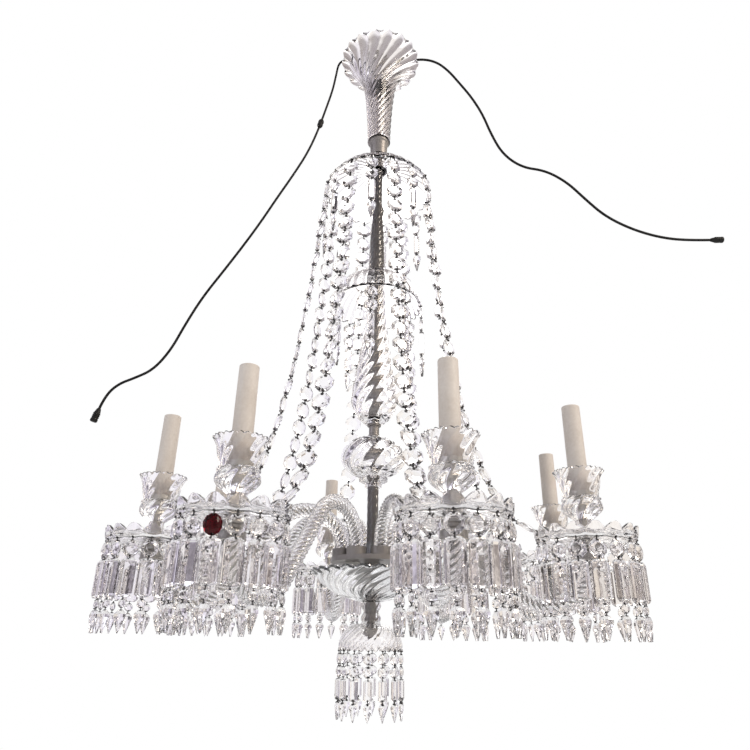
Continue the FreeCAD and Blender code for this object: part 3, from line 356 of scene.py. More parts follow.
COLUMN_GLASS = Glass("column_crystal", Slot.BLOWN, (0.90, 0.885, 0.88), (0.92, 0.91, 0.90), index=1.8,
                     wave_scale=90.0, wave_strength=0.08)
CANOPY_GLASS = Glass("canopy_crystal", Slot.BLOWN, (0.95, 0.915, 0.90), (0.96, 0.935, 0.925),
                     wave_strength=0.08)
DISH_GLASS = Glass("dish_crystal", Slot.BLOWN, CLEAR, WARM_CLEAR, index=1.36, wave_strength=0.12)
CHAIN_GLASS = Glass("chain_crystal", Slot.CUT, (0.985, 0.98, 0.985), (0.99, 0.985, 0.975), index=1.48,
                    wave_scale=110.0, wave_strength=0.03, film=0.008)
COLUMN_METAL = Opaque("taupe_grey_metal", Slot.METAL, (0.26, 0.238, 0.228), (0.36, 0.335, 0.315), 0.42,
                      metallic=0.55, scale=45.0)
COLLAR_METAL = Opaque("nickel_grey_metal", Slot.METAL, (0.40, 0.385, 0.37), (0.52, 0.50, 0.475), 0.34,
                      metallic=0.7, scale=70.0, grain=0.05)
HOLDER_METAL = Opaque("light_nickel", Slot.METAL, (0.66, 0.63, 0.58), (0.74, 0.70, 0.64), 0.38,
                      metallic=0.45, scale=70.0, grain=0.05)
PIN_METAL = Opaque("dark_pin_wire", Slot.METAL, (0.035, 0.032, 0.032), (0.09, 0.085, 0.085), 0.42,
                   metallic=0.5, scale=400.0)
CANDLE_CARD = Opaque("candle_cream", Slot.CREAM, (0.70, 0.635, 0.58), (0.62, 0.55, 0.49), 0.55, spread=0.15,
                     scale=22.0, specks=0.5, grain=0.15)
LEAD_RUBBER = Opaque("lead_black", Slot.LEAD, (0.006, 0.0055, 0.0055), (0.014, 0.013, 0.013), 0.6,
                     scale=120.0, shine=0.22)
CONNECTOR_PLASTIC = Opaque("connector_black", Slot.CONNECTOR, (0.007, 0.0065, 0.0065),
                           (0.018, 0.017, 0.016), 0.5, scale=200.0, shine=0.28)
CABLE_SHEATH = Opaque("cable_white", Slot.CABLE, (0.74, 0.73, 0.69), (0.66, 0.64, 0.58), 0.4, scale=80.0)
TERMINAL_PLASTIC = Opaque("terminal_white", Slot.TERMINAL, (0.74, 0.73, 0.69), (0.62, 0.60, 0.55), 0.5,
                          scale=90.0)


class Library:
    """Materials and node groups, each made once."""

    def __init__(self) -> None:
        """Build the shared shader groups and geometry trees."""
        self.mottle = mottle_group()
        self.ripple = ripple_group()
        self.flutes = flute_tree()
        self.ring = ring_tree()
        self.strung = strung_tree()
        self.rope = rope_tree()
        self.made: dict[str, Material] = {}

    def blank(self, name: str) -> tuple[Material, Tree, Node]:
        """A new material with a bare Principled shader, its tree and that shader.

        Args:
            name: the material's name.

        Returns:
            The material, its tree and its shader.
        """
        material = bpy.data.materials.new(name)
        material.use_nodes = True
        tree = material.node_tree
        tree.nodes.clear()
        shader = add(tree, "ShaderNodeBsdfPrincipled")
        add(tree, "ShaderNodeOutputMaterial", {"Surface": shader.outputs[0]})
        return material, tree, shader

    def of(self, finish: Finish) -> Material:
        """The material of a finish."""
        if finish.name not in self.made:
            self.made[finish.name] = finish.material(self)
        return self.made[finish.name]


# ---- Geometry trees --------------------------------------------------------------------------------
def close_tree(tree: Tree, geometry: Socket, finish: Socket, sink: Node) -> None:
    """End a geometry tree: its copies made real, in their material, to the group's output.

    Args:
        tree: the geometry tree.
        geometry: what the tree has made.
        finish: the material's socket.
        sink: the group's output node.
    """
    real = add(tree, "GeometryNodeRealizeInstances", {"Geometry": geometry}).outputs[0]
    done = add(tree, "GeometryNodeSetMaterial", {"Geometry": real, "Material": finish}).outputs[0]
    tree.links.new(done, sink.inputs[0])


def carried(tree: Tree, name: str, kind: str) -> Socket:
    """Value of the given kind that the points carry under a name."""
    return add(tree, "GeometryNodeInputNamedAttribute", {"Name": name}, data_type=kind).outputs[0]


def flute_tree() -> Tree:
    """Tree that cuts twisted flutes and a petalled rim into a turned shell.

    The shell's points carry three values: cut, the share of the flutes' depth, lip, the share of the petals,
    and spin, how far the flutes have turned there, in radians.

    Returns:
        The geometry node group.
    """
    tree = bpy.data.node_groups.new("TwistFlutes", "GeometryNodeTree")
    source, sink = sockets(
        tree,
        {"Geometry": "Geometry", "Flutes": ("Float", 12.0), "Depth": ("Float", 0.002),
         "Petals": ("Float", 12.0), "Petal Drop": ("Float", 0.0), "Petal Reach": ("Float", 0.0),
         "Petal Power": ("Float", 1.0), "Turn": ("Float", 0.0), "Finish": "Material"},
        {"Geometry": "Geometry"})
    given = source.outputs
    place = add(tree, "GeometryNodeInputPosition").outputs[0]
    normal = add(tree, "GeometryNodeInputNormal").outputs[0]
    split = add(tree, "ShaderNodeSeparateXYZ", {0: place}).outputs
    angle = calc(tree, "ARCTAN2", split[0], calc(tree, "MULTIPLY", split[1], -1.0))
    shares = {name: carried(tree, name, "FLOAT") for name in ("cut", "lip", "spin")}
    turned = calc(tree, "SUBTRACT", calc(tree, "SUBTRACT", angle, given["Turn"]), shares["spin"])

    def wave(count: Socket, phase: Socket) -> Socket:
        """Round arch from 0 to 1 and back, once for each count."""
        half = calc(tree, "MULTIPLY", calc(tree, "MULTIPLY", phase, count), 0.5)
        return calc(tree, "ABSOLUTE", calc(tree, "SINE", half))

    groove = calc(tree, "SUBTRACT", wave(given["Flutes"], turned), 1.0)
    cut_by = calc(tree, "MULTIPLY", calc(tree, "MULTIPLY", groove, given["Depth"]), shares["cut"])
    flute_move = calc_vector(tree, "SCALE", a=normal, scale=cut_by)
    petal = wave(given["Petals"], calc(tree, "SUBTRACT", angle, given["Turn"]))
    notch = calc(tree, "SUBTRACT", 1.0, calc(tree, "POWER", petal, given["Petal Power"]))
    notch = calc(tree, "MULTIPLY", notch, shares["lip"])
    flat = add(tree, "ShaderNodeCombineXYZ", {0: split[0], 1: split[1]}).outputs[0]
    outward = calc_vector(tree, "NORMALIZE", a=flat)
    inward_by = calc(tree, "MULTIPLY", calc(tree, "MULTIPLY", notch, given["Petal Reach"]), -1.0)
    reach = calc_vector(tree, "SCALE", a=outward, scale=inward_by)
    down_by = calc(tree, "MULTIPLY", calc(tree, "MULTIPLY", notch, given["Petal Drop"]), -1.0)
    drop = add(tree, "ShaderNodeCombineXYZ", {2: down_by}).outputs[0]
    move = calc_vector(tree, "ADD", a=calc_vector(tree, "ADD", a=flute_move, b=reach), b=drop)
    shaped = add(tree, "GeometryNodeSetPosition", {"Geometry": given["Geometry"], "Offset": move}).outputs[0]
    close_tree(tree, shaped, given["Finish"], sink)
    return tree


def ring_tree() -> Tree:
    """Tree that repeats a piece round the rod, each copy turned with its place.

    Returns:
        The geometry node group.
    """
    tree = bpy.data.node_groups.new("RoundTheRod", "GeometryNodeTree")
    source, sink = sockets(
        tree,
        {"Geometry": "Geometry", "Count": ("Int", ARM_COUNT), "Radius": ("Float", 0.0),
         "First Angle": ("Float", 0.0), "Finish": "Material"},
        {"Geometry": "Geometry"})
    given = source.outputs
    index = add(tree, "GeometryNodeInputIndex").outputs[0]
    step = calc(tree, "DIVIDE", 2 * math.pi, given["Count"])
    angle = calc(tree, "ADD", given["First Angle"], calc(tree, "MULTIPLY", index, step))
    across = calc(tree, "MULTIPLY", calc(tree, "SINE", angle), given["Radius"])
    ahead = calc(tree, "MULTIPLY", calc(tree, "MULTIPLY", calc(tree, "COSINE", angle), given["Radius"]), -1.0)
    place = add(tree, "ShaderNodeCombineXYZ", {0: across, 1: ahead}).outputs[0]
    points = add(tree, "GeometryNodePoints", {"Count": given["Count"], "Position": place}).outputs[0]
    turn = add(tree, "ShaderNodeCombineXYZ", {2: angle}).outputs[0]
    rotation = add(tree, "FunctionNodeEulerToRotation", {0: turn}).outputs[0]
    copies = add(tree, "GeometryNodeInstanceOnPoints",
                 {"Points": points, "Instance": given["Geometry"], "Rotation": rotation}).outputs[0]
    close_tree(tree, copies, given["Finish"], sink)
    return tree


def strung_tree() -> Tree:
    """Tree that hangs one shape on every given point, turned and sized by the point's own values.

    Returns:
        The geometry node group.
    """
    tree = bpy.data.node_groups.new("Strung", "GeometryNodeTree")
    source, sink = sockets(tree, {"Geometry": "Geometry", "Shape": "Object", "Finish": "Material"},
                           {"Geometry": "Geometry"})
    given = source.outputs
    turn = carried(tree, "turn", "FLOAT_VECTOR")
    size = carried(tree, "size", "FLOAT_VECTOR")
    shape = add(tree, "GeometryNodeObjectInfo", {"Object": given["Shape"]}).outputs["Geometry"]
    rotation = add(tree, "FunctionNodeEulerToRotation", {0: turn}).outputs[0]
    hung = add(tree, "GeometryNodeInstanceOnPoints", {"Points": given["Geometry"], "Instance": shape,
                                                      "Rotation": rotation, "Scale": size}).outputs[0]
    close_tree(tree, hung, given["Finish"], sink)
    return tree


END_WALL = 0.003                # share of a rope bar's run that is solid glass at each end


def rope_tree() -> Tree:
    """Tree that draws a rope-twisted glass bar, with its bore, along a line of edges.

    Returns:
        The geometry node group.
    """
    tree = bpy.data.node_groups.new("RopeTwist", "GeometryNodeTree")
    source, sink = sockets(
        tree,
        {"Geometry": "Geometry", "Radius": ("Float", 0.011), "Lobes": ("Int", 10),
         "Lobe Depth": ("Float", 0.002), "Lobe Points": ("Int", 5), "Twist": ("Float", 80.0),
         "Spacing": ("Float", 0.0013), "Bore": ("Float", 0.004), "Finish": "Material"},
        {"Geometry": "Geometry"})
    given = source.outputs
    line = add(tree, "GeometryNodeMeshToCurve", {"Mesh": given["Geometry"]}).outputs[0]
    line = add(tree, "GeometryNodeResampleCurve", {"Curve": line, "Length": given["Spacing"]},
               mode="LENGTH").outputs[0]
    along = add(tree, "GeometryNodeSplineParameter").outputs["Length"]
    line = add(tree, "GeometryNodeSetCurveTilt",
               {"Curve": line, "Tilt": calc(tree, "MULTIPLY", along, given["Twist"])}).outputs[0]
    corners = calc(tree, "MULTIPLY", given["Lobes"], given["Lobe Points"])
    ring = add(tree, "GeometryNodeCurvePrimitiveCircle", {"Resolution": corners, "Radius": 1.0}).outputs[0]
    spot = add(tree, "GeometryNodeInputPosition").outputs[0]
    split = add(tree, "ShaderNodeSeparateXYZ", {0: spot}).outputs
    angle = calc(tree, "ARCTAN2", split[1], split[0])
    half = calc(tree, "MULTIPLY", calc(tree, "MULTIPLY", angle, given["Lobes"]), 0.5)
    arch = calc(tree, "ABSOLUTE", calc(tree, "SINE", half))
    sunk = calc(tree, "MULTIPLY", calc(tree, "SUBTRACT", 1.0, arch), given["Lobe Depth"])
    reach = calc(tree, "SUBTRACT", given["Radius"], sunk)
    ring = add(tree, "GeometryNodeSetPosition",
               {"Geometry": ring, "Position": calc_vector(tree, "SCALE", a=spot, scale=reach)}).outputs[0]
    bar = add(tree, "GeometryNodeCurveToMesh",
              {"Curve": line, "Profile Curve": ring, "Fill Caps": True}).outputs[0]
    inner_line = add(tree, "GeometryNodeTrimCurve", {"Curve": line}, mode="FACTOR")
    inner_line.inputs[2].default_value = END_WALL
    inner_line.inputs[3].default_value = 1.0 - END_WALL
    inner_ring = add(tree, "GeometryNodeCurvePrimitiveCircle",
                     {"Resolution": 20, "Radius": given["Bore"]}).outputs[0]
    inner = add(tree, "GeometryNodeCurveToMesh",
                {"Curve": inner_line.outputs[0], "Profile Curve": inner_ring, "Fill Caps": True}).outputs[0]
    inner = add(tree, "GeometryNodeFlipFaces", {"Mesh": inner}).outputs[0]
    both = add(tree, "GeometryNodeJoinGeometry")
    tree.links.new(bar, both.inputs[0])
    tree.links.new(inner, both.inputs[0])
    close_tree(tree, both.outputs[0], given["Finish"], sink)
    return tree


# ---- Mesh tools ------------------------------------------------------------------------------------
def grow(piece: Piece, tree: Tree, **inputs) -> None:
    """Run a geometry tree on a piece and keep the result as its plain mesh.

    Args:
        piece: object the tree starts from.
        tree: one of the library's geometry trees.
        inputs: the tree's inputs, named with _ in place of spaces.
    """
    modifier = piece.modifiers.new(tree.name, "NODES")
    modifier.node_group = tree
    keys = {item.name: item.identifier for item in tree.interface.items_tree if item.in_out == "INPUT"}
    for name, value in inputs.items():
        modifier[keys[name.replace("_", " ")]] = value
    bpy.context.view_layer.update()
    graph = bpy.context.evaluated_depsgraph_get()
    result = bpy.data.meshes.new_from_object(piece.evaluated_get(graph))
    piece.modifiers.remove(modifier)
    piece.data = result


def linked(name: str, data: bpy.types.ID) -> Piece:
    """A new object with the given data, in the scene's own collection."""
    piece = bpy.data.objects.new(name, data)
    bpy.context.scene.collection.objects.link(piece)
    return piece


def new_piece(name: str, vertices: Iterable, edges: Iterable = (), faces: Iterable = ()) -> Piece:
    """A linked mesh object with the given points, edges and faces, in metres."""
    mesh = bpy.data.meshes.new(name)
    mesh.from_pydata(list(vertices), list(edges), list(faces))
    return linked(name, mesh)


def outward(piece: Piece) -> None:
    """Merge a mesh's doubles and turn its faces outward.

    Args:
        piece: the object.
    """
    work = bmesh.new()
    work.from_mesh(piece.data)
    bmesh.ops.remove_doubles(work, verts=work.verts, dist=1e-7)
    bmesh.ops.recalc_face_normals(work, faces=work.faces)
    work.to_mesh(piece.data)
    work.free()


def soften(piece: Piece, angle: float = SHARP_EDGE) -> None:
    """Shade a mesh smooth, but for edges sharper than an angle.

    Args:
        piece: the object.
        angle: edges sharper than this stay sharp.
    """
    mesh = piece.data
    mesh.polygons.foreach_set("use_smooth", [True] * len(mesh.polygons))
    mesh.set_sharp_from_angle(angle=angle)
    mesh.update()


def put(piece: Piece, matrix: Matrix) -> Piece:
    """Move a piece's mesh, while its object stays at the origin."""
    piece.data.transform(matrix)
    piece.data.update()
    return piece


def ease(value: float) -> float:
    """Smooth step of a value held between 0 and 1."""
    held = min(max(value, 0.0), 1.0)
    return held * held * (3 - 2 * held)


# ---- Outlines, as (radius, height) pairs in millimetres --------------------------------------------
def flow(points: Sequence[Pair], spacing: float) -> list[Pair]:
    """Smooth line through points.

    Args:
        points: the (radius, height) points it passes.
        spacing: largest distance between two points of the result.

    Returns:
        The closer points, with the first and last of the given ones.
    """
    line = [points[0]]
    for index in range(len(points) - 1):
        a, b, c, d = (points[min(max(index + k, 0), len(points) - 1)] for k in (-1, 0, 1, 2))
        count = max(1, math.ceil(math.dist(b, c) / spacing))
        for step in range(1, count + 1):
            t = step / count
            line.append(tuple(
                0.5 * (2 * b[k] + (c[k] - a[k]) * t + (2 * a[k] - 5 * b[k] + 4 * c[k] - d[k]) * t * t
                       + (3 * b[k] - a[k] - 3 * c[k] + d[k]) * t ** 3) for k in (0, 1)))
    return line


def straight(points: Sequence[Pair], spacing: float) -> list[Pair]:
    """Straight runs between corners, cut into steps no longer than the spacing.

    Args:
        points: the corners.
        spacing: longest step.

    Returns:
        The corners and the points between.
    """
    line = [points[0]]
    for a, b in zip(points[:-1], points[1:]):
        count = max(1, math.ceil(math.dist(a, b) / spacing))
        line += [tuple(a[i] + (b[i] - a[i]) * k / count for i in (0, 1)) for k in range(1, count + 1)]
    return line


def inset(line: Sequence[Pair], wall: float) -> list[Pair]:
    """The line moved in by a wall, square to it, for a line that runs from top to bottom.

    Args:
        line: (radius, height) points.
        wall: how far in.

    Returns:
        The moved points.
    """
    moved = []
    for index, (r, z) in enumerate(line):
        before, after = line[max(index - 1, 0)], line[min(index + 1, len(line) - 1)]
        length = math.dist(before, after)
        moved.append((r + wall * (after[1] - before[1]) / length, z - wall * (after[0] - before[0]) / length))
    return moved


def arc(centre: Pair, radius: float, start: float, end: float, spacing: float) -> list[Pair]:
    """Points of an arc, from one angle to another, in radians."""
    count = max(2, math.ceil(abs(end - start) * radius / spacing))
    angles = [start + (end - start) * k / count for k in range(count + 1)]
    return [(centre[0] + radius * math.cos(a), centre[1] + radius * math.sin(a)) for a in angles]


def direction(angle: float) -> Vector:
    """Unit vector away from the rod at an angle."""
    return Vector((math.sin(angle), -math.cos(angle), 0.0))


def arm_angle(index: int) -> float:
    """Angle of an arm, in radians."""
    return FIRST_ARM + index * ARM_STEP


# ---- Turned pieces ---------------------------------------------------------------------------------
@dataclass
class Shell:
    """A piece turned about the rod: a closed outline, with flutes and petals if it has them."""

    name: str
    outer: list[Pair]
    inner: list[Pair]
    steps: int = 96
    flutes: int = 0
    depth: float = 0.0
    twist: float = 0.0
    twist_delay: float = 0.0
    petals: int = 0
    petal_drop: float = 0.0
    petal_reach: float = 0.0
    petal_power: float = 1.0
    turn: float = 0.0
    fade_top: float = 0.0
    fade_foot: float = 0.0
    cut_floor: float = 0.0
    lip_z: float | None = None
    lip_span: float = 20.0
    inner_cut: float = 0.0
    sharp: float = SHARP_EDGE

    def rows(self) -> list[tuple[float, float, float, float, float]]:
        """Radius, height, cut share, lip share and twist of every ring.

        Returns:
            The rings in order, down the outside from the top and up the inside.
        """
        top = max(z for _, z in self.outer)
        foot = min(z for _, z in self.outer)
        widest = max(r for r, _ in self.outer)
        start = top if self.lip_z is None else self.lip_z
        found = []
        for side, line in (("outer", self.outer), ("inner", self.inner)):
            for r, z in line:
                cut = self.cut_floor + (1.0 - self.cut_floor) * r / widest
                cut *= ease((top - z) / self.fade_top) if self.fade_top else 1.0
                cut *= ease((z - foot) / self.fade_foot) if self.fade_foot else 1.0
                cut *= 1.0 if side == "outer" else self.inner_cut
                lip = 0.0 if self.lip_z is None else ease(1 - abs(z - self.lip_z) / self.lip_span)
                run = z - start
                if run <= 0.0 and self.twist_delay:
                    run = -run * run / (self.twist_delay - run)
                found.append((r, z, cut, lip, run * self.twist * MM))
        return found

    def build(self, library: Library, finish: Finish) -> Piece:
        """The piece in its finish, standing on the rod's axis.

        Args:
            library: holds the materials and trees.
            finish: what the piece is made of.

        Returns:
            The finished object.
        """
        rows = np.array(self.rows())
        angles = np.linspace(0, 2 * math.pi, self.steps, endpoint=False)
        radii = np.maximum(rows[:, 0], 0.0) * MM
        spots = np.empty((len(rows), self.steps, 3))
        spots[:, :, 0] = radii[:, None] * np.sin(angles)
        spots[:, :, 1] = -radii[:, None] * np.cos(angles)
        spots[:, :, 2] = (rows[:, 1] * MM)[:, None]
        row = np.arange(len(rows))[:, None] * self.steps
        following = np.roll(row, -1, axis=0)
        column = np.arange(self.steps)[None, :]
        beside = np.roll(column, -1, axis=1)
        faces = np.stack([row + column, following + column, following + beside, row + beside], axis=2)
        piece = new_piece(self.name, spots.reshape(-1, 3).tolist(), (), faces.reshape(-1, 4).tolist())
        for name, column_of in (("cut", 2), ("lip", 3), ("spin", 4)):
            share = piece.data.attributes.new(name, "FLOAT", "POINT")
            share.data.foreach_set("value", np.repeat(rows[:, column_of], self.steps).astype(np.float32))
        outward(piece)
        grow(piece, library.flutes, Flutes=float(self.flutes), Depth=self.depth * MM,
             Petals=float(self.petals), Petal_Drop=self.petal_drop * MM, Petal_Reach=self.petal_reach * MM,
             Petal_Power=self.petal_power, Turn=self.turn, Finish=library.of(finish))
        for name in ("cut", "lip", "spin"):
            piece.data.attributes.remove(piece.data.attributes[name])
        soften(piece, self.sharp)
        return piece


def bored(top_z: float, foot_z: float, radius: float = GLASS_BORE) -> list[Pair]:
    """Inner line of a solid piece: its bore, from the foot up."""
    return [(radius, foot_z), (radius, top_z)]


def rounded(corners: Sequence[Pair], edge: float) -> list[Pair]:
    """The corners with each one cut by a small round of about the edge's size.

    Args:
        corners: the sharp corners.
        edge: size of the rounds.

    Returns:
        The eased line.
    """
    line = [corners[0]]
    for a, b, c in zip(corners[:-2], corners[1:-1], corners[2:]):
        before = min(edge, math.dist(a, b) / 2.1)
        after = min(edge, math.dist(b, c) / 2.1)
        start = [b[k] + (a[k] - b[k]) * before / math.dist(a, b) for k in (0, 1)]
        end = [b[k] + (c[k] - b[k]) * after / math.dist(b, c) for k in (0, 1)]
        for t in (0.0, 0.33, 0.67, 1.0):
            line.append(tuple((1 - t) ** 2 * start[k] + 2 * t * (1 - t) * b[k] + t * t * end[k]
                              for k in (0, 1)))
    return line + [corners[-1]]


class Builder:
    """Keeps the library, and places finished pieces on their bodies."""

    def __init__(self) -> None:
        """Start with an empty count."""
        self.library = Library()
        self.count = 0

    def place(self, piece: Piece, finish: Finish, *nodes: str,
              body: str = Body.FRAME.value) -> Piece:
        """Ride a piece on its body, in the place of CAD nodes.

        Args:
            piece: the finished object.
            finish: what it is made of, for its material.
            nodes: CAD nodes that it stands for.
            body: CAD body that carries it.

        Returns:
            The same object.
        """
        material = self.library.of(finish)
        if piece.type == "CURVE" or not piece.data.materials:
            piece.data.materials.append(material)
        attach(piece, body)
        if nodes:
            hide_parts(*nodes)
        self.count += 1
        faces = len(piece.data.polygons) if piece.type == "MESH" else 0
        LOG.info("%s: %d faces on %s", piece.name, faces, body)
        return piece

    def turned(self, shell: Shell, finish: Finish, *nodes: str) -> None:
        """Build a turned piece and place it on the frame, for CAD nodes."""
        self.place(shell.build(self.library, finish), finish, *nodes)

    def at_candles(self, shell: Shell, finish: Finish, node: str) -> None:
        """Build a turned piece, repeat it at every candle and place it on the frame.

        Args:
            shell: the piece's outline and cuts, at the axis.
            finish: what it is made of.
            node: CAD node that it stands for.
        """
        piece = shell.build(self.library, finish)
        grow(piece, self.library.ring, Count=ARM_COUNT, Radius=ARM_RING * MM, First_Angle=FIRST_ARM,
             Finish=self.library.of(finish))
        self.place(piece, finish, node)


# ---- Camera, light and ground ----------------------------------------------------------------------
@dataclass
class Studio:
    """Camera at the photograph's viewpoint, soft lamps, a white world and a pale floor."""

    camera_place: tuple[float, float, float] = (0.0, -0.988, level(1189.5) * MM)
    lens: float = 29.6
    pitch: float = math.radians(113.45)
    roll: float = 0.0167
    clear_middle: float = math.radians(30)
    clear_edge: float = math.radians(44)
    aim: tuple[float, float, float] = (0.0, 0.0, -0.75)
    floor_z: float = -2.0
    floor_half: float = 3.0
    lamps: tuple = (
        ("KeyLamp", (2.1, -1.3, 0.7), 1.2, 40.0, (1.0, 0.89, 0.76)),
        ("FillLamp", (-2.2, -1.0, 0.2), 1.5, 9.0, (0.86, 0.89, 1.0)),
        ("BackLamp", (0.5, 2.2, 0.8), 1.4, 12.0, (1.0, 0.98, 0.95)),
    )

    def build(self) -> None:
        """Make the camera, lamps, world and floor."""
        self.camera()
        self.lights()
        self.world()
        self.floor()

    def camera(self) -> None:
        """Wide camera below the arms, looking up at the column."""
        data = bpy.data.cameras.new("Camera")
        data.lens = self.lens
        data.sensor_width = 36.0
        data.clip_start = 0.01
        holder = linked("Camera", data)
        holder.matrix_world = (Matrix.Translation(self.camera_place) @ Matrix.Rotation(self.pitch, 4, "X")
                               @ Matrix.Rotation(self.roll, 4, "Z"))
        bpy.context.scene.camera = holder

    def lights(self) -> None:
        """Large soft lamps that face the middle of the chandelier."""
        middle = Vector(self.aim)
        for name, place, size, power, colour in self.lamps:
            data = bpy.data.lights.new(name, "AREA")
            data.shape = "SQUARE"
            data.size = size
            data.energy = power
            data.color = colour
            lamp = linked(name, data)
            lamp.location = place
            lamp.rotation_euler = (middle - Vector(place)).to_track_quat("-Z", "Y").to_euler()

    def world(self) -> None:
        """White to the camera; to glass and metal a white room with soft darker parts."""
        world = bpy.data.worlds.new("World")
        bpy.context.scene.world = world
        world.use_nodes = True
        tree = world.node_tree
        tree.nodes.clear()
        way = add(tree, "ShaderNodeTexCoord").outputs["Generated"]
        rays = add(tree, "ShaderNodeLightPath").outputs
        split = add(tree, "ShaderNodeSeparateXYZ", {0: way}).outputs
        squeezed = calc_vector(tree, "MULTIPLY", a=way, b=(1.0, 1.0, 0.4))
        patches = add(tree, "ShaderNodeTexNoise", {"Vector": squeezed, "Scale": 5.5, "Detail": 4.0,
                                                   "Roughness": 0.62}).outputs[0]
        room = ramp(tree, patches, [(0.38, (0.05, 0.045, 0.05)), (0.46, (0.34, 0.32, 0.33)),
                                    (0.53, (0.82, 0.80, 0.82)), (0.58, (1.0, 1.0, 1.0))])
        ahead = (0.0, math.sin(self.pitch), -math.cos(self.pitch))
        facing = add(tree, "ShaderNodeVectorMath", {0: way, 1: ahead},
                     operation="DOT_PRODUCT").outputs["Value"]
        clear = add(tree, "ShaderNodeMapRange", {"Value": facing, "From Min": math.cos(self.clear_edge),
                                                 "From Max": math.cos(self.clear_middle)}).outputs[0]
        opened = add(tree, "ShaderNodeMix", {0: clear, 7: WHITE}, data_type="RGBA")
        tree.links.new(room, opened.inputs[6])
        ceiling = add(tree, "ShaderNodeMapRange", {"Value": split[2], "From Min": 0.68, "From Max": 0.76,
                                                   "To Min": 0.0, "To Max": 0.85}).outputs[0]
        shaded = add(tree, "ShaderNodeMix", {0: ceiling, 7: (0.34, 0.31, 0.31, 1.0)}, data_type="RGBA")
        tree.links.new(opened.outputs[2], shaded.inputs[6])
        warm = add(tree, "ShaderNodeMapRange",
                   {"Value": split[0], "From Min": -0.9, "From Max": 0.9}).outputs[0]
        hue = ramp(tree, warm, [(0.0, (0.91, 0.87, 1.0)), (0.5, (1.0, 0.99, 1.0)), (1.0, (1.0, 0.92, 0.82))])
        tinted = add(tree, "ShaderNodeMix", {0: 1.0}, data_type="RGBA", blend_type="MULTIPLY")
        tree.links.new(shaded.outputs[2], tinted.inputs[6])
        tree.links.new(hue, tinted.inputs[7])
        seen = calc(tree, "MAXIMUM", rays["Is Glossy Ray"], rays["Is Transmission Ray"])
        soft = add(tree, "ShaderNodeBackground", {"Color": WHITE, "Strength": 0.66}).outputs[0]
        shown = add(tree, "ShaderNodeBackground", {"Color": tinted.outputs[2], "Strength": 1.0}).outputs[0]
        white = add(tree, "ShaderNodeBackground", {"Color": WHITE, "Strength": 1.0}).outputs[0]
        mixed = add(tree, "ShaderNodeMixShader", {0: seen, 1: soft, 2: shown}).outputs[0]
        last = add(tree, "ShaderNodeMixShader", {0: rays["Is Camera Ray"], 1: mixed, 2: white}).outputs[0]
        add(tree, "ShaderNodeOutputWorld", {"Surface": last})

    def floor(self) -> None:
        """Pale floor well below the drops."""
        half = self.floor_half
        corners = [(x * half, y * half, self.floor_z) for x, y in ((-1, -1), (1, -1), (1, 1), (-1, 1))]
        piece = new_piece("Floor", corners, (), [(0, 1, 2, 3)])
        material = bpy.data.materials.new("PaleFloor")
        material.use_nodes = True
        tree = material.node_tree
        tree.nodes.clear()
        rays = add(tree, "ShaderNodeLightPath").outputs
        place = add(tree, "ShaderNodeTexCoord").outputs["Object"]
        cloud = add(tree, "ShaderNodeTexNoise", {"Vector": place, "Scale": 1.5}).outputs[0]
        colour = ramp(tree, cloud, [(0.3, (0.86, 0.86, 0.86)), (0.7, (0.90, 0.90, 0.90))])
        matt = add(tree, "ShaderNodeBsdfDiffuse", {"Color": colour}).outputs[0]
        glow = add(tree, "ShaderNodeEmission", {"Color": WHITE, "Strength": 0.9}).outputs[0]
        seen = calc(tree, "MAXIMUM", rays["Is Glossy Ray"], rays["Is Transmission Ray"])
        mixed = add(tree, "ShaderNodeMixShader", {0: seen, 1: matt, 2: glow}).outputs[0]
        add(tree, "ShaderNodeOutputMaterial", {"Surface": mixed})
        piece.data.materials.append(material)


# ---- Supply leads ----------------------------------------------------------------------------------
@dataclass
class Lead:
    """One loose supply lead: a smooth line from the cord grip, over the canopy's rim, to its plug."""

    name: str
    node: str
    diameter: float
    length: float
    route: Sequence[Pair]

    def build(self, builder: Builder, pieces: Sequence[Piece]) -> Piece:
        """The lead as one NURBS curve.

        Args:
            builder: places the lead.
            pieces: what rides on the lead; not used.

        Returns:
            The curve object.
        """
        data = bpy.data.curves.new(self.name, "CURVE")
        data.dimensions = "3D"
        data.bevel_depth = self.diameter / 2 * MM
        data.bevel_resolution = 4
        data.resolution_u = 8
        data.use_fill_caps = True
        spline = data.splines.new("NURBS")
        spline.points.add(len(self.route) - 1)
        for spot, (x, z) in zip(spline.points, self.route):
            spot.co = (x * MM, 0.0, z * MM, 1.0)
        spline.order_u = 3
        spline.use_endpoint_u = True
        lead = linked(self.name, data)
        builder.place(lead, LEAD_RUBBER, self.node)
        x, z = self.route[0]
        return lead


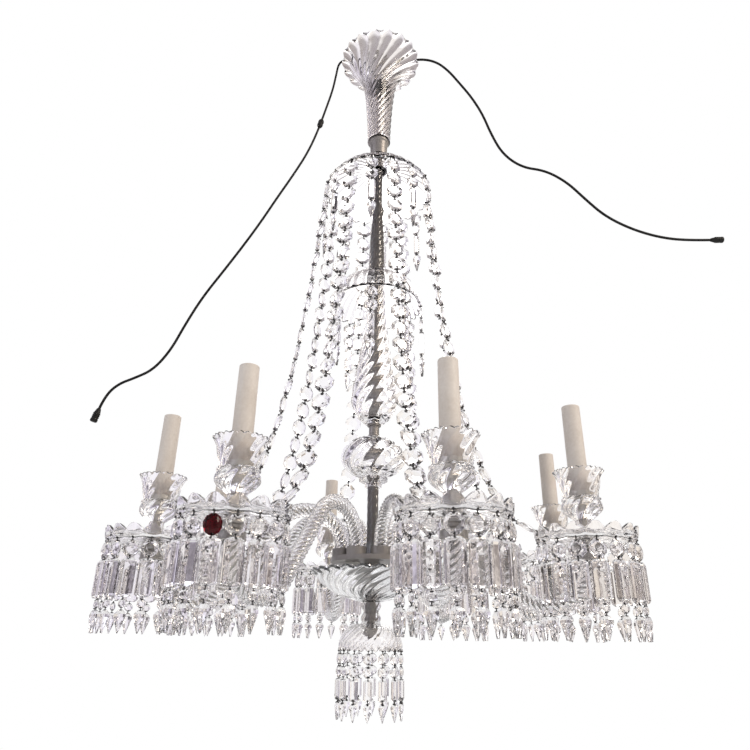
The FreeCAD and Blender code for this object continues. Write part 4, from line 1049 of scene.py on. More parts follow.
@dataclass
class Leads:
    """Both leads, the switch on the left one and their plugs; routes are (X, depth below the rim) points."""

    left_route: tuple = (
        (-16, 77), (-16, 44), (-36, 14), (-58, -7), (-79, -9), (-93, 4), (-97, 40), (-103, 87),
        (-115, 141), (-129, 203), (-147, 263), (-173, 322), (-201, 380), (-228, 439), (-257, 496),
        (-288, 553), (-320, 610), (-344, 667), (-363, 720), (-388, 758), (-417, 774), (-444, 786),
        (-462, 808), (-468, 832))
    right_route: tuple = (
        (16, 77), (16, 43), (36, 14), (63, -7), (96, -15), (128, -5), (153, 22), (175, 58), (199, 98),
        (221, 148), (236, 204), (257, 258), (294, 292), (341, 299), (382, 328), (414, 370), (447, 410),
        (493, 440), (544, 459), (595, 466), (646, 464))
    switch_run: int = 9
    switch_size: Pair = (6.0, 20.0)
    plug_size: Pair = (6.0, 24.0)
    relief_length: float = 22.0
    left_diameter: float = 4.5
    right_diameter: float = 5.0
    left_length: float = 1075.9
    right_length: float = 918.3

    def heights(self, route: Sequence[Pair]) -> list[Pair]:
        """A route as (X, height) points."""
        return [(x, level(depth)) for x, depth in route]

    def along(self, start: Pair, towards: Pair) -> Matrix:
        """Matrix that stands a piece made on +Z at a start, along a run."""
        way = Vector((towards[0] - start[0], 0.0, towards[1] - start[1])).normalized()
        turned = way.to_track_quat("Z", "Y").to_matrix().to_4x4()
        return Matrix.Translation((start[0] * MM, 0.0, start[1] * MM)) @ turned

    def plug(self, builder: Builder, name: str, route: Sequence[Pair]) -> Piece:
        """Moulded plug with grip rings and a tapered neck at a lead's far end.

        Args:
            builder: holds the library.
            name: the piece's name.
            route: the lead's points.

        Returns:
            The plug.
        """
        radius, length = self.plug_size
        line = [(1.9, 0.0), (3.4, 0.3), (4.3, 4.0), (5.2, 7.5)]
        for ring in range(3):
            base = 9.0 + ring * 3.0
            line += [(5.9, base), (5.9, base + 1.4), (5.2, base + 1.9), (5.2, base + 2.6)]
        line += [(radius, length - 4.5), (radius, length - 1.2), (radius - 1.0, length)]
        shell = Shell(name, line[::-1], [(0.0, 0.0), (0.0, length)], steps=40, sharp=math.radians(50))
        piece = shell.build(builder.library, CONNECTOR_PLASTIC)
        end, before = route[-1], route[-2]
        beyond = (end[0] * 2 - before[0], end[1] * 2 - before[1])
        return put(piece, self.along(end, beyond))

    def switch(self, builder: Builder, route: Sequence[Pair]) -> Piece:
        """Small inline switch with rounded ends and a thumb wheel's band.

        Args:
            builder: holds the library.
            route: the lead's points.

        Returns:
            The switch.
        """
        radius, length = self.switch_size
        half = length / 2
        above = [(2.4, half), (4.2, half - 0.6), (5.4, half - 3.0), (radius, half - 6.0), (radius, 2.6),
                 (5.5, 2.2)]
        line = above + [(r, -z) for r, z in reversed(above)]
        shell = Shell("InlineSwitch", line, [(2.0, -half), (2.0, half)], steps=40, flutes=20, depth=0.3,
                      fade_top=9.0, fade_foot=9.0)
        piece = shell.build(builder.library, CONNECTOR_PLASTIC)
        start, end = route[self.switch_run - 1], route[self.switch_run]
        middle = ((start[0] + end[0] * 2) / 3, (start[1] + end[1] * 2) / 3)
        return put(piece, self.along(middle, end))

    def relief(self, builder: Builder, name: str, start: Pair, diameter: float) -> Piece:
        """Tapered strain relief that stands on the grip round a lead.

        Args:
            builder: holds the library.
            name: the piece's name.
            start: foot of the lead.
            diameter: the lead's diameter.

        Returns:
            The strain relief.
        """
        radius = diameter / 2
        line = [(radius + 0.4, self.relief_length), (radius + 0.9, self.relief_length - 1)]
        for ring in range(5):
            z = self.relief_length - 3 - ring * 3.4
            size = radius + 1.0 + ring * 0.35
            line += [(size, z), (size - 0.6, z - 0.8), (size - 0.6, z - 1.8), (size + 0.2, z - 2.6)]
        line += [(radius + 3.2, 1.6), (radius + 3.2, 0.0)]
        shell = Shell(name, line, [(radius, 0.0), (radius, self.relief_length)], steps=32)
        piece = shell.build(builder.library, CONNECTOR_PLASTIC)
        return put(piece, Matrix.Translation((start[0] * MM, 0.0, start[1] * MM)))

    def build(self, builder: Builder) -> None:
        """Make both leads and all that is on them.

        Args:
            builder: places the pieces.
        """
        left_line, right_line = self.heights(self.left_route), self.heights(self.right_route)
        left_plug = self.plug(builder, "LeftPlug", left_line)
        right_plug = self.plug(builder, "RightPlug", right_line)
        switch = self.switch(builder, left_line)
        builder.place(left_plug, CONNECTOR_PLASTIC, "lead_connectors")
        builder.place(right_plug, CONNECTOR_PLASTIC)
        builder.place(switch, CONNECTOR_PLASTIC)
        left_relief = self.relief(builder, "LeftRelief", left_line[0], self.left_diameter)
        right_relief = self.relief(builder, "RightRelief", right_line[0], self.right_diameter)
        builder.place(left_relief, CONNECTOR_PLASTIC)
        builder.place(right_relief, CONNECTOR_PLASTIC)
        left = Lead("LeftLead", "left_lead", self.left_diameter, self.left_length, left_line)
        right = Lead("RightLead", "right_lead", self.right_diameter, self.right_length, right_line)
        left.build(builder, [left_plug, switch, left_relief])
        right.build(builder, [right_plug, right_relief])


# ---- The column ------------------------------------------------------------------------------------
@dataclass
class Column:
    """Everything strung on the rod above the arms."""

    canopy_outline: tuple = (
        (86.0, level(0.0)), (66.0, level(15.0)), (50.0, level(37.0)), (37.0, level(67.0)),
        (30.5, level(111.0)), (26.8, level(155.0)), (24.6, level(197.0)), (23.5, level(232.0)))
    canopy_wall: float = 5.0
    canopy_ribs: int = 18
    cover_top: float = level(258.0)
    cover_bore: float = 6.05
    cover_swell: float = 8.8
    cover_neck: float = 12.0
    wall: float = 5.0
    plain_share: float = 0.35
    dish_ribs: int = 32
    upper_dish_size: Pair = (105.0, 59.0)
    middle_dish_size: Pair = (84.0, 72.0)
    ball_radius: float = 54.0
    ball_neck: float = 16.0
    collar_top: float = level(232.0)
    upper_dish_top: float = level(270.0)
    upper_column_top: float = level(311.5)
    middle_dish_top: float = level(549.5)
    vase_top: float = level(561.0)
    ball_collar_top: float = level(852.0)
    ball_top: float = level(876.0)
    ball_foot: float = level(944.0)
    ball_dish_foot: float = level(959.0)
    plate_hub: float = level(1067.0)
    vase_shares: tuple = ((0.0, 14.0), (0.14, 17.0), (0.31, 19.5), (0.45, 23.5), (0.62, 31.0), (0.78, 38.5),
                          (0.87, 39.5), (0.95, 30.0), (1.0, 15.0))
    column_runs: tuple = (((0.0, 9.5), (0.16, 8.6), (0.36, 8.8)), ((0.36, 8.8), (0.41, 13.0), (0.46, 10.0)),
                          ((0.46, 10.0), (0.70, 13.7), (1.0, 16.0)))

    def rod_cover(self, builder: Builder) -> None:
        """Thin metal tube over the rod, a little wider where the blown pieces are hollow.

        Args:
            builder: places the pieces.
        """
        inside, edge, swell, neck = self.cover_bore, COVER_RADIUS - 0.4, self.cover_swell, self.cover_neck
        top, foot = self.cover_top, self.plate_hub + 0.5
        line = [(inside, top), (edge, top), (COVER_RADIUS, top - 0.6)]
        for high, low in ((self.vase_top, self.ball_collar_top), (self.ball_top, self.ball_foot)):
            line += [(COVER_RADIUS, high - neck), (swell, high - neck - 2.0), (swell, low + neck + 2.0),
                     (COVER_RADIUS, low + neck)]
        line += [(COVER_RADIUS, foot + 0.6), (edge, foot), (inside, foot)]
        shell = Shell("RodCover", line, [], steps=48)
        builder.turned(shell, COLUMN_METAL)

    def canopy(self, builder: Builder) -> None:
        """Flared trumpet with twisted ribs and a petalled rim.

        Args:
            builder: places the pieces.
        """
        outer = flow(self.canopy_outline, 1.9)
        top, foot = outer[0][1], outer[-1][1]
        inner = [p for p in inset(outer, self.canopy_wall)[::3] if foot < p[1] < top - 3.0]
        inner = [(outer[0][0] - self.canopy_wall, top)] + inner + [(outer[-1][0] - self.canopy_wall, foot)]
        ribs = self.canopy_ribs
        shell = Shell("CanopyTrumpet", outer, inner[::-1], steps=ribs * 11, flutes=ribs, depth=3.4,
                      twist=23.0, twist_delay=70.0, petals=ribs, petal_drop=4.0, petal_reach=1.8,
                      petal_power=2.0, fade_foot=6.0, cut_floor=0.35, lip_z=top, lip_span=16.0, sharp=SOFT_EDGE)
        builder.turned(shell, CANOPY_GLASS, "canopy")

    def dish(self, builder: Builder, node: str, hub: Pair, top: float, size: Pair, bulge: float, wall: float,
             ribs: int, turn: float, twist: float = 0.0) -> None:
        """Ribbed glass dome with a scalloped rim.

        Args:
            builder: places the piece.
            node: CAD node it stands for.
            hub: radius and height of the bored hub.
            top: height of the hub's top.
            size: radius and drop of the dome.
            bulge: how far the dome stands out of a straight cone.
            wall: thickness of the glass.
            ribs: number of ribs and of petals.
            turn: angle that puts petals over the strings.
            twist: slant of the ribs, in radians for each metre of height.
        """
        radius, drop = size
        shoulder = top - hub[1]
        rim = shoulder - drop
        start, end = (hub[0], shoulder), (radius, rim + 4.0)
        chord = math.dist(start, end)
        out = ((start[1] - end[1]) / chord, (end[0] - start[0]) / chord)

        def between(a: Pair, b: Pair, lift: float) -> Pair:
            """Middle of two points, lifted out of the cone."""
            return (a[0] + b[0]) / 2 + lift * out[0], (a[1] + b[1]) / 2 + lift * out[1]

        middle = between(start, end, bulge)
        upper, lower = between(start, middle, bulge * 0.25), between(end, middle, bulge * 0.25)
        dome = flow([start, upper, middle, lower, end], 2.2)
        inner = inset(dome, wall)[::2]
        outer = rounded([(GLASS_BORE, top), (hub[0] - 1.0, top), start], 1.5) + dome[1:]
        outer += [(radius, rim + 1.3), (radius - 0.5, rim + 0.4), (radius - 1.3, rim)]
        inner = [p for p in inner if p[1] > rim + 4.0]
        inner += [(radius - 3.1, rim + 1.6), (radius - 2.2, rim + 0.2)]
        inner[0] = (hub[0] - wall * out[0], shoulder - wall)
        back = inner[::-1] + [(GLASS_BORE, shoulder - wall)]
        shell = Shell(node + "_dome", outer, back, steps=ribs * 7, flutes=ribs, depth=1.7, petals=ribs,
                      petal_drop=-5.0, petal_reach=4.5, turn=turn, twist=twist,
                      fade_top=hub[1] + drop * self.plain_share, lip_z=rim, lip_span=14.0, inner_cut=-0.5,
                      sharp=SOFT_EDGE)
        builder.turned(shell, DISH_GLASS, node)

    def collar(self, builder: Builder, name: str, node: str, corners: Sequence[Pair]) -> None:
        """Turned metal collar with eased edges."""
        line = rounded(corners, 0.9)
        shell = Shell(name, line, bored(corners[0][1], corners[-1][1]), steps=72)
        builder.turned(shell, COLUMN_METAL, node)

    def upper_column(self, builder: Builder) -> None:
        """Thin rope-twisted column with a knop.

        Args:
            builder: places the pieces.
        """
        length = self.upper_column_top - self.middle_dish_top
        outer: list[Pair] = []
        for run in self.column_runs:
            line = flow([(r, self.upper_column_top - share * length) for share, r in run], 1.5)
            outer += line if not outer else line[1:]
        shell = Shell("UpperColumn", outer, bored(self.upper_column_top, self.middle_dish_top, FULL_BORE),
                      steps=8 * 8, flutes=8, depth=1.3, twist=62.0, fade_top=4.0, fade_foot=4.0)
        builder.turned(shell, COLUMN_GLASS, "upper_column")

    def hollow(self, builder: Builder, name: str, node: str, outer: list[Pair], wall: float, **look) -> None:
        """Blown piece with a wall, bored at both necks.

        Args:
            builder: places the piece.
            name: the piece's name.
            node: CAD node it stands for.
            outer: the outline, from the top.
            wall: thickness of the glass.
            look: flutes and other settings of the shell.
        """
        top, foot = outer[0][1], outer[-1][1]
        neck = wall * 2
        inner = [p for p in inset(outer, wall)[::2] if foot + neck + 1 < p[1] < top - neck - 1]
        back = [(GLASS_BORE, foot), (GLASS_BORE, foot + neck)] + inner[::-1]
        back += [(GLASS_BORE, top - neck), (GLASS_BORE, top)]
        shell = Shell(name, outer, back, **look)
        builder.turned(shell, BLOWN_GLASS, node)

    def vase(self, builder: Builder) -> None:
        """Large baluster with twisted flutes.

        Args:
            builder: places the pieces.
        """
        length = self.vase_top - self.ball_collar_top
        outer = flow([(r, self.vase_top - share * length) for share, r in self.vase_shares], 2.4)
        self.hollow(builder, "Baluster", "vase", outer, self.wall, steps=12 * 12, flutes=12, depth=2.6,
                    twist=22.0, fade_top=8.0, fade_foot=8.0, sharp=math.radians(70))

    def ball(self, builder: Builder) -> None:
        """Squat ball with slanting flutes.

        Args:
            builder: places the pieces.
        """
        middle = (self.ball_top + self.ball_foot) / 2
        half = (self.ball_top - self.ball_foot) / 2
        span = math.acos(self.ball_neck / self.ball_radius)
        steps = 22
        outer = []
        for step in range(-steps, steps + 1):
            angle = span * step / steps
            height = middle - half * math.sin(angle) / math.sin(span)
            outer.append((self.ball_radius * math.cos(angle), height))
        self.hollow(builder, "Ball", "ball", outer, self.wall, steps=12 * 14, flutes=12, depth=3.0,
                    twist=19.0, fade_top=5.0, fade_foot=5.0, sharp=math.radians(70))

    def ball_dish(self, builder: Builder) -> None:
        """Small petalled collar under the ball.

        Args:
            builder: places the pieces.
        """
        top, foot = self.ball_foot, self.ball_dish_foot
        outer = rounded([(GLASS_BORE, top), (24.0, top), (24.0, top - 5.0), (14.0, top - 10.0), (14.0, foot)],
                        2.0)
        shell = Shell("BallDish", outer, [(GLASS_BORE, foot)], steps=96, flutes=12, depth=1.2, petals=12,
                      petal_reach=3.0, lip_z=top - 2.5, lip_span=5.0)
        builder.turned(shell, BLOWN_GLASS, "ball_dish")

    def lower_column(self, builder: Builder) -> None:
        """Rope-twisted column above the arm plate.

        Args:
            builder: places the pieces.
        """
        top, foot = self.ball_dish_foot, self.plate_hub
        outer = straight([(9.0, top), (9.0, foot + 20.0)], 1.5) + [(12.0, foot + 10.0), (12.0, foot)]
        shell = Shell("LowerColumn", outer, bored(top, foot, FULL_BORE), steps=8 * 8, flutes=8, depth=1.5,
                      twist=60.0, fade_top=2.0, fade_foot=14.0)
        builder.turned(shell, COLUMN_GLASS, "lower_column")

    def build(self, builder: Builder) -> None:
        """Make the column from the canopy down.

        Args:
            builder: places the pieces.
        """
        self.rod_cover(builder)
        self.canopy(builder)
        top = self.collar_top
        self.collar(builder, "CanopyCollar", "canopy_collar",
                    [(GLASS_BORE, top), (20.5, top), (20.5, top - 5.5), (18.0, top - 7.5),
                     (16.5, self.upper_dish_top), (GLASS_BORE, self.upper_dish_top)])
        turn = FIRST_ARM - math.pi / self.dish_ribs
        self.dish(builder, "upper_dish", (18.0, 37.0), self.upper_dish_top, self.upper_dish_size, 13.0, 4.5,
                  self.dish_ribs, turn)
        self.upper_column(builder)
        self.dish(builder, "middle_dish", (18.0, 7.0), self.middle_dish_top, self.middle_dish_size, 14.0, 4.5,
                  self.dish_ribs, turn)
        self.vase(builder)
        top, foot = self.ball_collar_top, self.ball_top
        self.collar(builder, "BallCollar", "ball_collar",
                    [(GLASS_BORE, top), (11.5, top), (11.5, top - 4.0), (8.5, top - 4.3), (8.5, foot + 4.3),
                     (11.5, foot + 4.0), (11.5, foot), (GLASS_BORE, foot)])
        self.ball(builder)
        self.ball_dish(builder)
        self.lower_column(builder)


# ---- Receiver and the pieces below it --------------------------------------------------------------
@dataclass
class Receiver:
    """The bowl round the arm plate, the neck and the bottom dish."""

    bowl_rim: float = level(1088.0)
    bowl_foot: float = level(1134.0)
    bowl_radius: float = 94.0
    bowl_foot_radius: float = 16.0
    bowl_shape: tuple = ((1.0, 0.0), (0.91, 0.20), (0.76, 0.45), (0.48, 0.76), (0.0, 1.0))
    bowl_ribs: int = 24
    wall: float = 5.0
    neck_foot: float = level(1161.0)
    bead_radius: float = 15.0
    dish_size: Pair = (48.0, 38.0)
    dish_ribs: int = 28

    def bowl(self, builder: Builder) -> None:
        """Wide bowl with twisted flutes, under the arm plate.

        Args:
            builder: places the pieces.
        """
        reach = self.bowl_radius - self.bowl_foot_radius
        depth = self.bowl_rim - self.bowl_foot
        shape = [(self.bowl_foot_radius + reach * r, self.bowl_rim - depth * z) for r, z in self.bowl_shape]
        outer = flow(shape, 1.8)
        floor = self.bowl_foot + self.wall
        inner = [p for p in inset(outer, self.wall)[::2] if floor + 0.5 < p[1] < self.bowl_rim - 2.0]
        inner = [(self.bowl_radius - self.wall, self.bowl_rim)] + inner + [(self.bowl_foot_radius, floor)]
        back = [(GLASS_BORE, self.bowl_foot), (GLASS_BORE, floor)] + inner[::-1]
        ribs = self.bowl_ribs
        shell = Shell("ReceiverBowl", outer, back, steps=ribs * 8, flutes=ribs, depth=3.4, twist=24.0,
                      petals=ribs, petal_drop=3.0, petal_reach=1.5, lip_z=self.bowl_rim, lip_span=10.0,
                      fade_foot=8.0, sharp=SOFT_EDGE)
        # The bowl's blue-grey tint is painted shade for the dark reflections in its ribs.
        builder.turned(shell, SHADED_BOWL_GLASS, "receiver_bowl")

    def neck(self, builder: Builder) -> None:
        """Spool with ribbed beads.

        Args:
            builder: places the pieces.
        """
        top, foot = self.bowl_foot, self.neck_foot
        middle = (top + foot) / 2
        bead = self.bead_radius
        outer = rounded([(GLASS_BORE, top), (bead, top), (bead, top - 7.0), (10.5, middle),
                         (bead, foot + 7.0), (bead, foot), (GLASS_BORE, foot)], 3.0)
        shell = Shell("BowlNeck", straight(outer, 1.5), bored(top, foot, ROD_FIT), steps=12 * 8,
                      flutes=12, depth=0.9, twist=30.0)
        builder.turned(shell, BLOWN_GLASS, "bowl_neck")

    def build(self, builder: Builder, column: Column) -> None:
        """Make the bowl, neck and bottom dish.

        Args:
            builder: places the pieces.
            column: shapes the bottom dish as it does its own.
        """
        self.bowl(builder)
        self.neck(builder)
        column.dish(builder, "bottom_dish", (15.0, 3.0), self.neck_foot, self.dish_size, 10.0, 4.0,
                    self.dish_ribs, FIRST_ARM, twist=22.0)


# ---- Arms and what stands on them ------------------------------------------------------------------
@dataclass
class Arms:
    """Eight rope-twisted arms, with the ferrule, pan, cup, holder and sleeve at each end."""

    plate_z: float = level(1071.0)
    root: float = 48.0
    end_z: float = level(1079.0)
    bend: float = 56.0
    socket_height: float = 12.0
    skirt: float = 9.0
    tube: float = 11.0
    lobe_depth: float = 2.1
    wire_way: float = 4.0
    ferrule_hole: float = 5.05
    glass_hole: float = 5.4
    pan_z: float = PAN_Z
    pan_radius: float = 67.0
    pan_rise: float = 20.0
    pan_wall: float = 4.0
    pan_petals: int = 16
    cup_foot: float = level(1061.0)
    cup_rim: float = level(969.0)
    cup_floor: float = level(1006.0)
    sleeve_foot: float = level(997.7)
    sleeve_top: float = level(874.7)

    def path(self) -> list[Pair]:
        """Centre line of an arm: up, over the arch, down and up again, as in the part's source.

        Returns:
            The (distance from the rod, height) points.
        """
        spring = self.plate_z + self.socket_height
        arch = (self.root + self.bend, spring)
        dip = (ARM_RING - self.bend, self.end_z - self.skirt)
        across = math.atan2(dip[1] - arch[1], dip[0] - arch[0])
        lean = across + math.acos(2 * self.bend / math.dist(arch, dip))
        line = [(self.root, self.plate_z)]
        line += arc(arch, self.bend, math.pi, lean, 2.0)
        line += arc(dip, self.bend, lean - math.pi, 0.0, 2.0)
        return line + [(ARM_RING, self.end_z)]

    def arms(self, builder: Builder) -> None:
        """One rope-twisted arm, turned to its eight places.

        Args:
            builder: places the pieces.
        """
        line = [(r * MM, 0.0, z * MM) for r, z in self.path()]
        edges = [(k, k + 1) for k in range(len(line) - 1)]
        master = new_piece("ArmMaster", line, edges)
        grow(master, builder.library.rope, Radius=self.tube * MM, Lobes=10, Lobe_Depth=self.lobe_depth * MM,
             Lobe_Points=5, Twist=82.0, Spacing=0.0014, Bore=self.wire_way * MM,
             Finish=builder.library.of(TWIST_GLASS))
        soften(master, SOFT_EDGE)
        for index in range(ARM_COUNT):
            piece = linked(f"Arm_{index + 1}", master.data.copy())
            put(piece, Matrix.Rotation(arm_angle(index) - math.pi / 2, 4, "Z"))
            builder.place(piece, TWIST_GLASS, f"arm_{index + 1}")
        bpy.data.objects.remove(master)

    def ferrules(self, builder: Builder) -> None:
        """Metal caps with a drawn-in neck and a flange under each pan.

        Args:
            builder: places the pieces.
        """
        skirt, cap, flange = self.end_z - self.skirt, self.end_z + 3.0, self.pan_z - 3.0
        hole = self.ferrule_hole
        line = rounded([(11.4, skirt), (16.5, skirt), (16.5, skirt + 2.2), (15.6, skirt + 2.8),
                        (15.6, cap - 1.6), (12.0, cap), (9.0, cap + 1.4), (9.0, flange - 0.6), (16.0, flange),
                        (16.0, self.pan_z), (hole, self.pan_z)], 0.7)[::-1]
        back = [(11.3, skirt), (11.3, self.end_z), (hole, self.end_z)]
        builder.at_candles(Shell("ArmFerrules", line, back, steps=56), COLLAR_METAL, "arm_ferrules")

    def pans(self, builder: Builder) -> None:
        """Glass pans with a crown of rounded petals.

        Args:
            builder: places the pieces.
        """
        flat, radius, hole, petals = self.pan_z, self.pan_radius, self.glass_hole, self.pan_petals
        top, floor = flat + self.pan_rise, flat + self.pan_wall
        outer = [(radius, top)] + flow([(radius, top - 1.0), (65.8, flat + 8.0), (62.0, flat)], 1.6)
        outer += straight([(62.0, flat), (hole, flat)], 9.0)[1:]
        inner = [(hole, flat + 6.0), (13.0, flat + 6.0), (20.0, floor)]
        inner += straight([(20.0, floor), (56.0, floor)], 7.0)[1:]
        inner += flow([(56.0, floor), (61.6, flat + 9.0), (64.0, top)], 1.8)[1:]
        shell = Shell("DripPans", outer, inner, steps=petals * 8, flutes=petals, depth=1.9, petals=petals,
                      petal_drop=8.0, petal_reach=2.5, turn=math.pi / petals, lip_z=top, lip_span=15.0,
                      inner_cut=-0.6, sharp=math.radians(55))
        builder.at_candles(shell, BLOWN_GLASS, "drip_pans")

    def cups(self, builder: Builder) -> None:
        """Swirl-cut tulip cups over a bulb and a stem.

        Args:
            builder: places the pieces.
        """
        floor, rim, foot = self.cup_floor, self.cup_rim, self.cup_foot
        outer = flow([(35.0, rim), (31.6, rim - 5.0), (29.0, rim - 11.0), (27.0, rim - 20.0),
                      (24.8, rim - 29.0), (22.9, floor)], 1.7)
        outer += [(25.6, floor - 0.2), (26.0, floor - 1.0), (26.0, floor - 3.2), (25.4, floor - 4.0)]
        outer += flow([(24.4, floor - 4.0), (27.5, floor - 11.8), (24.5, floor - 19.5), (16.5, floor - 26.0),
                       (10.5, floor - 30.0)], 2.0)
        outer += [(10.5, foot + 6.5), (13.4, foot + 6.0), (14.0, foot + 5.0), (14.0, foot)]
        inner = [(self.glass_hole, foot), (self.glass_hole, floor), (18.5, floor)]
        inner += flow([(19.0, floor + 0.5), (21.0, rim - 29.0), (23.4, rim - 20.0), (25.6, rim - 11.0),
                       (28.0, rim - 5.0), (31.6, rim)], 2.2)
        shell = Shell("CandleCups", outer, inner, steps=12 * 11, flutes=12, depth=2.3, twist=30.0, petals=24,
                      petal_drop=2.2, petal_reach=1.2, lip_z=rim, lip_span=7.0, fade_foot=9.0,
                      inner_cut=-0.35, sharp=math.radians(50))
        builder.at_candles(shell, BLOWN_GLASS, "candle_cups")

    def sleeves(self, builder: Builder) -> None:
        """Loose candle tubes, a little drawn in towards the top.

        Args:
            builder: places the pieces.
        """
        foot, top = self.sleeve_foot, self.sleeve_top
        outer = [(11.6, top), (12.1, top - 0.05), (12.45, top - 0.6)]
        outer += flow([(12.5, top - 1.6), (12.75, top - 40.0), (12.95, top - 90.0), (13.0, foot + 1.0)], 6.0)
        outer += [(12.7, foot)]
        inner = [(11.55, foot), (11.52, top - 0.5)]
        shell = Shell("Sleeve", outer, inner, steps=64, sharp=math.radians(50))
        master = shell.build(builder.library, CANDLE_CARD)
        for index in range(ARM_COUNT):
            number = index + 1
            piece = linked(f"CandleSleeve_{number}", master.data.copy())
            angle = arm_angle(index)
            stand = Matrix.Translation(direction(angle) * ARM_RING * MM)
            put(piece, stand @ Matrix.Rotation(angle * 3, 4, "Z"))
            builder.place(piece, CANDLE_CARD, f"candle_sleeve_{number}", body=f"{Body.SLEEVE.value}{number}")
        bpy.data.objects.remove(master)

    def build(self, builder: Builder) -> None:
        """Make the arms and their ends.

        Args:
            builder: places the pieces.
        """
        self.arms(builder)
        self.ferrules(builder)
        self.pans(builder)
        self.cups(builder)
        self.sleeves(builder)


# ---- Cut crystals ----------------------------------------------------------------------------------
class Cut(Enum):
    """Shapes on strings: crystals one unit wide, long and thick, and the wire pin in millimetres."""

    OCTAGON = "octagon"
    PRISM = "prism"
    SPEAR = "spear"
    OVAL = "oval"
    PIN = "pin"


@dataclass(frozen=True)
class Hung:
    """One crystal's place: its top, its turn and its size as (thickness, width, length) in millimetres."""

    top: tuple[float, float, float]
    turn: tuple[float, float, float]
    size: tuple[float, float, float]


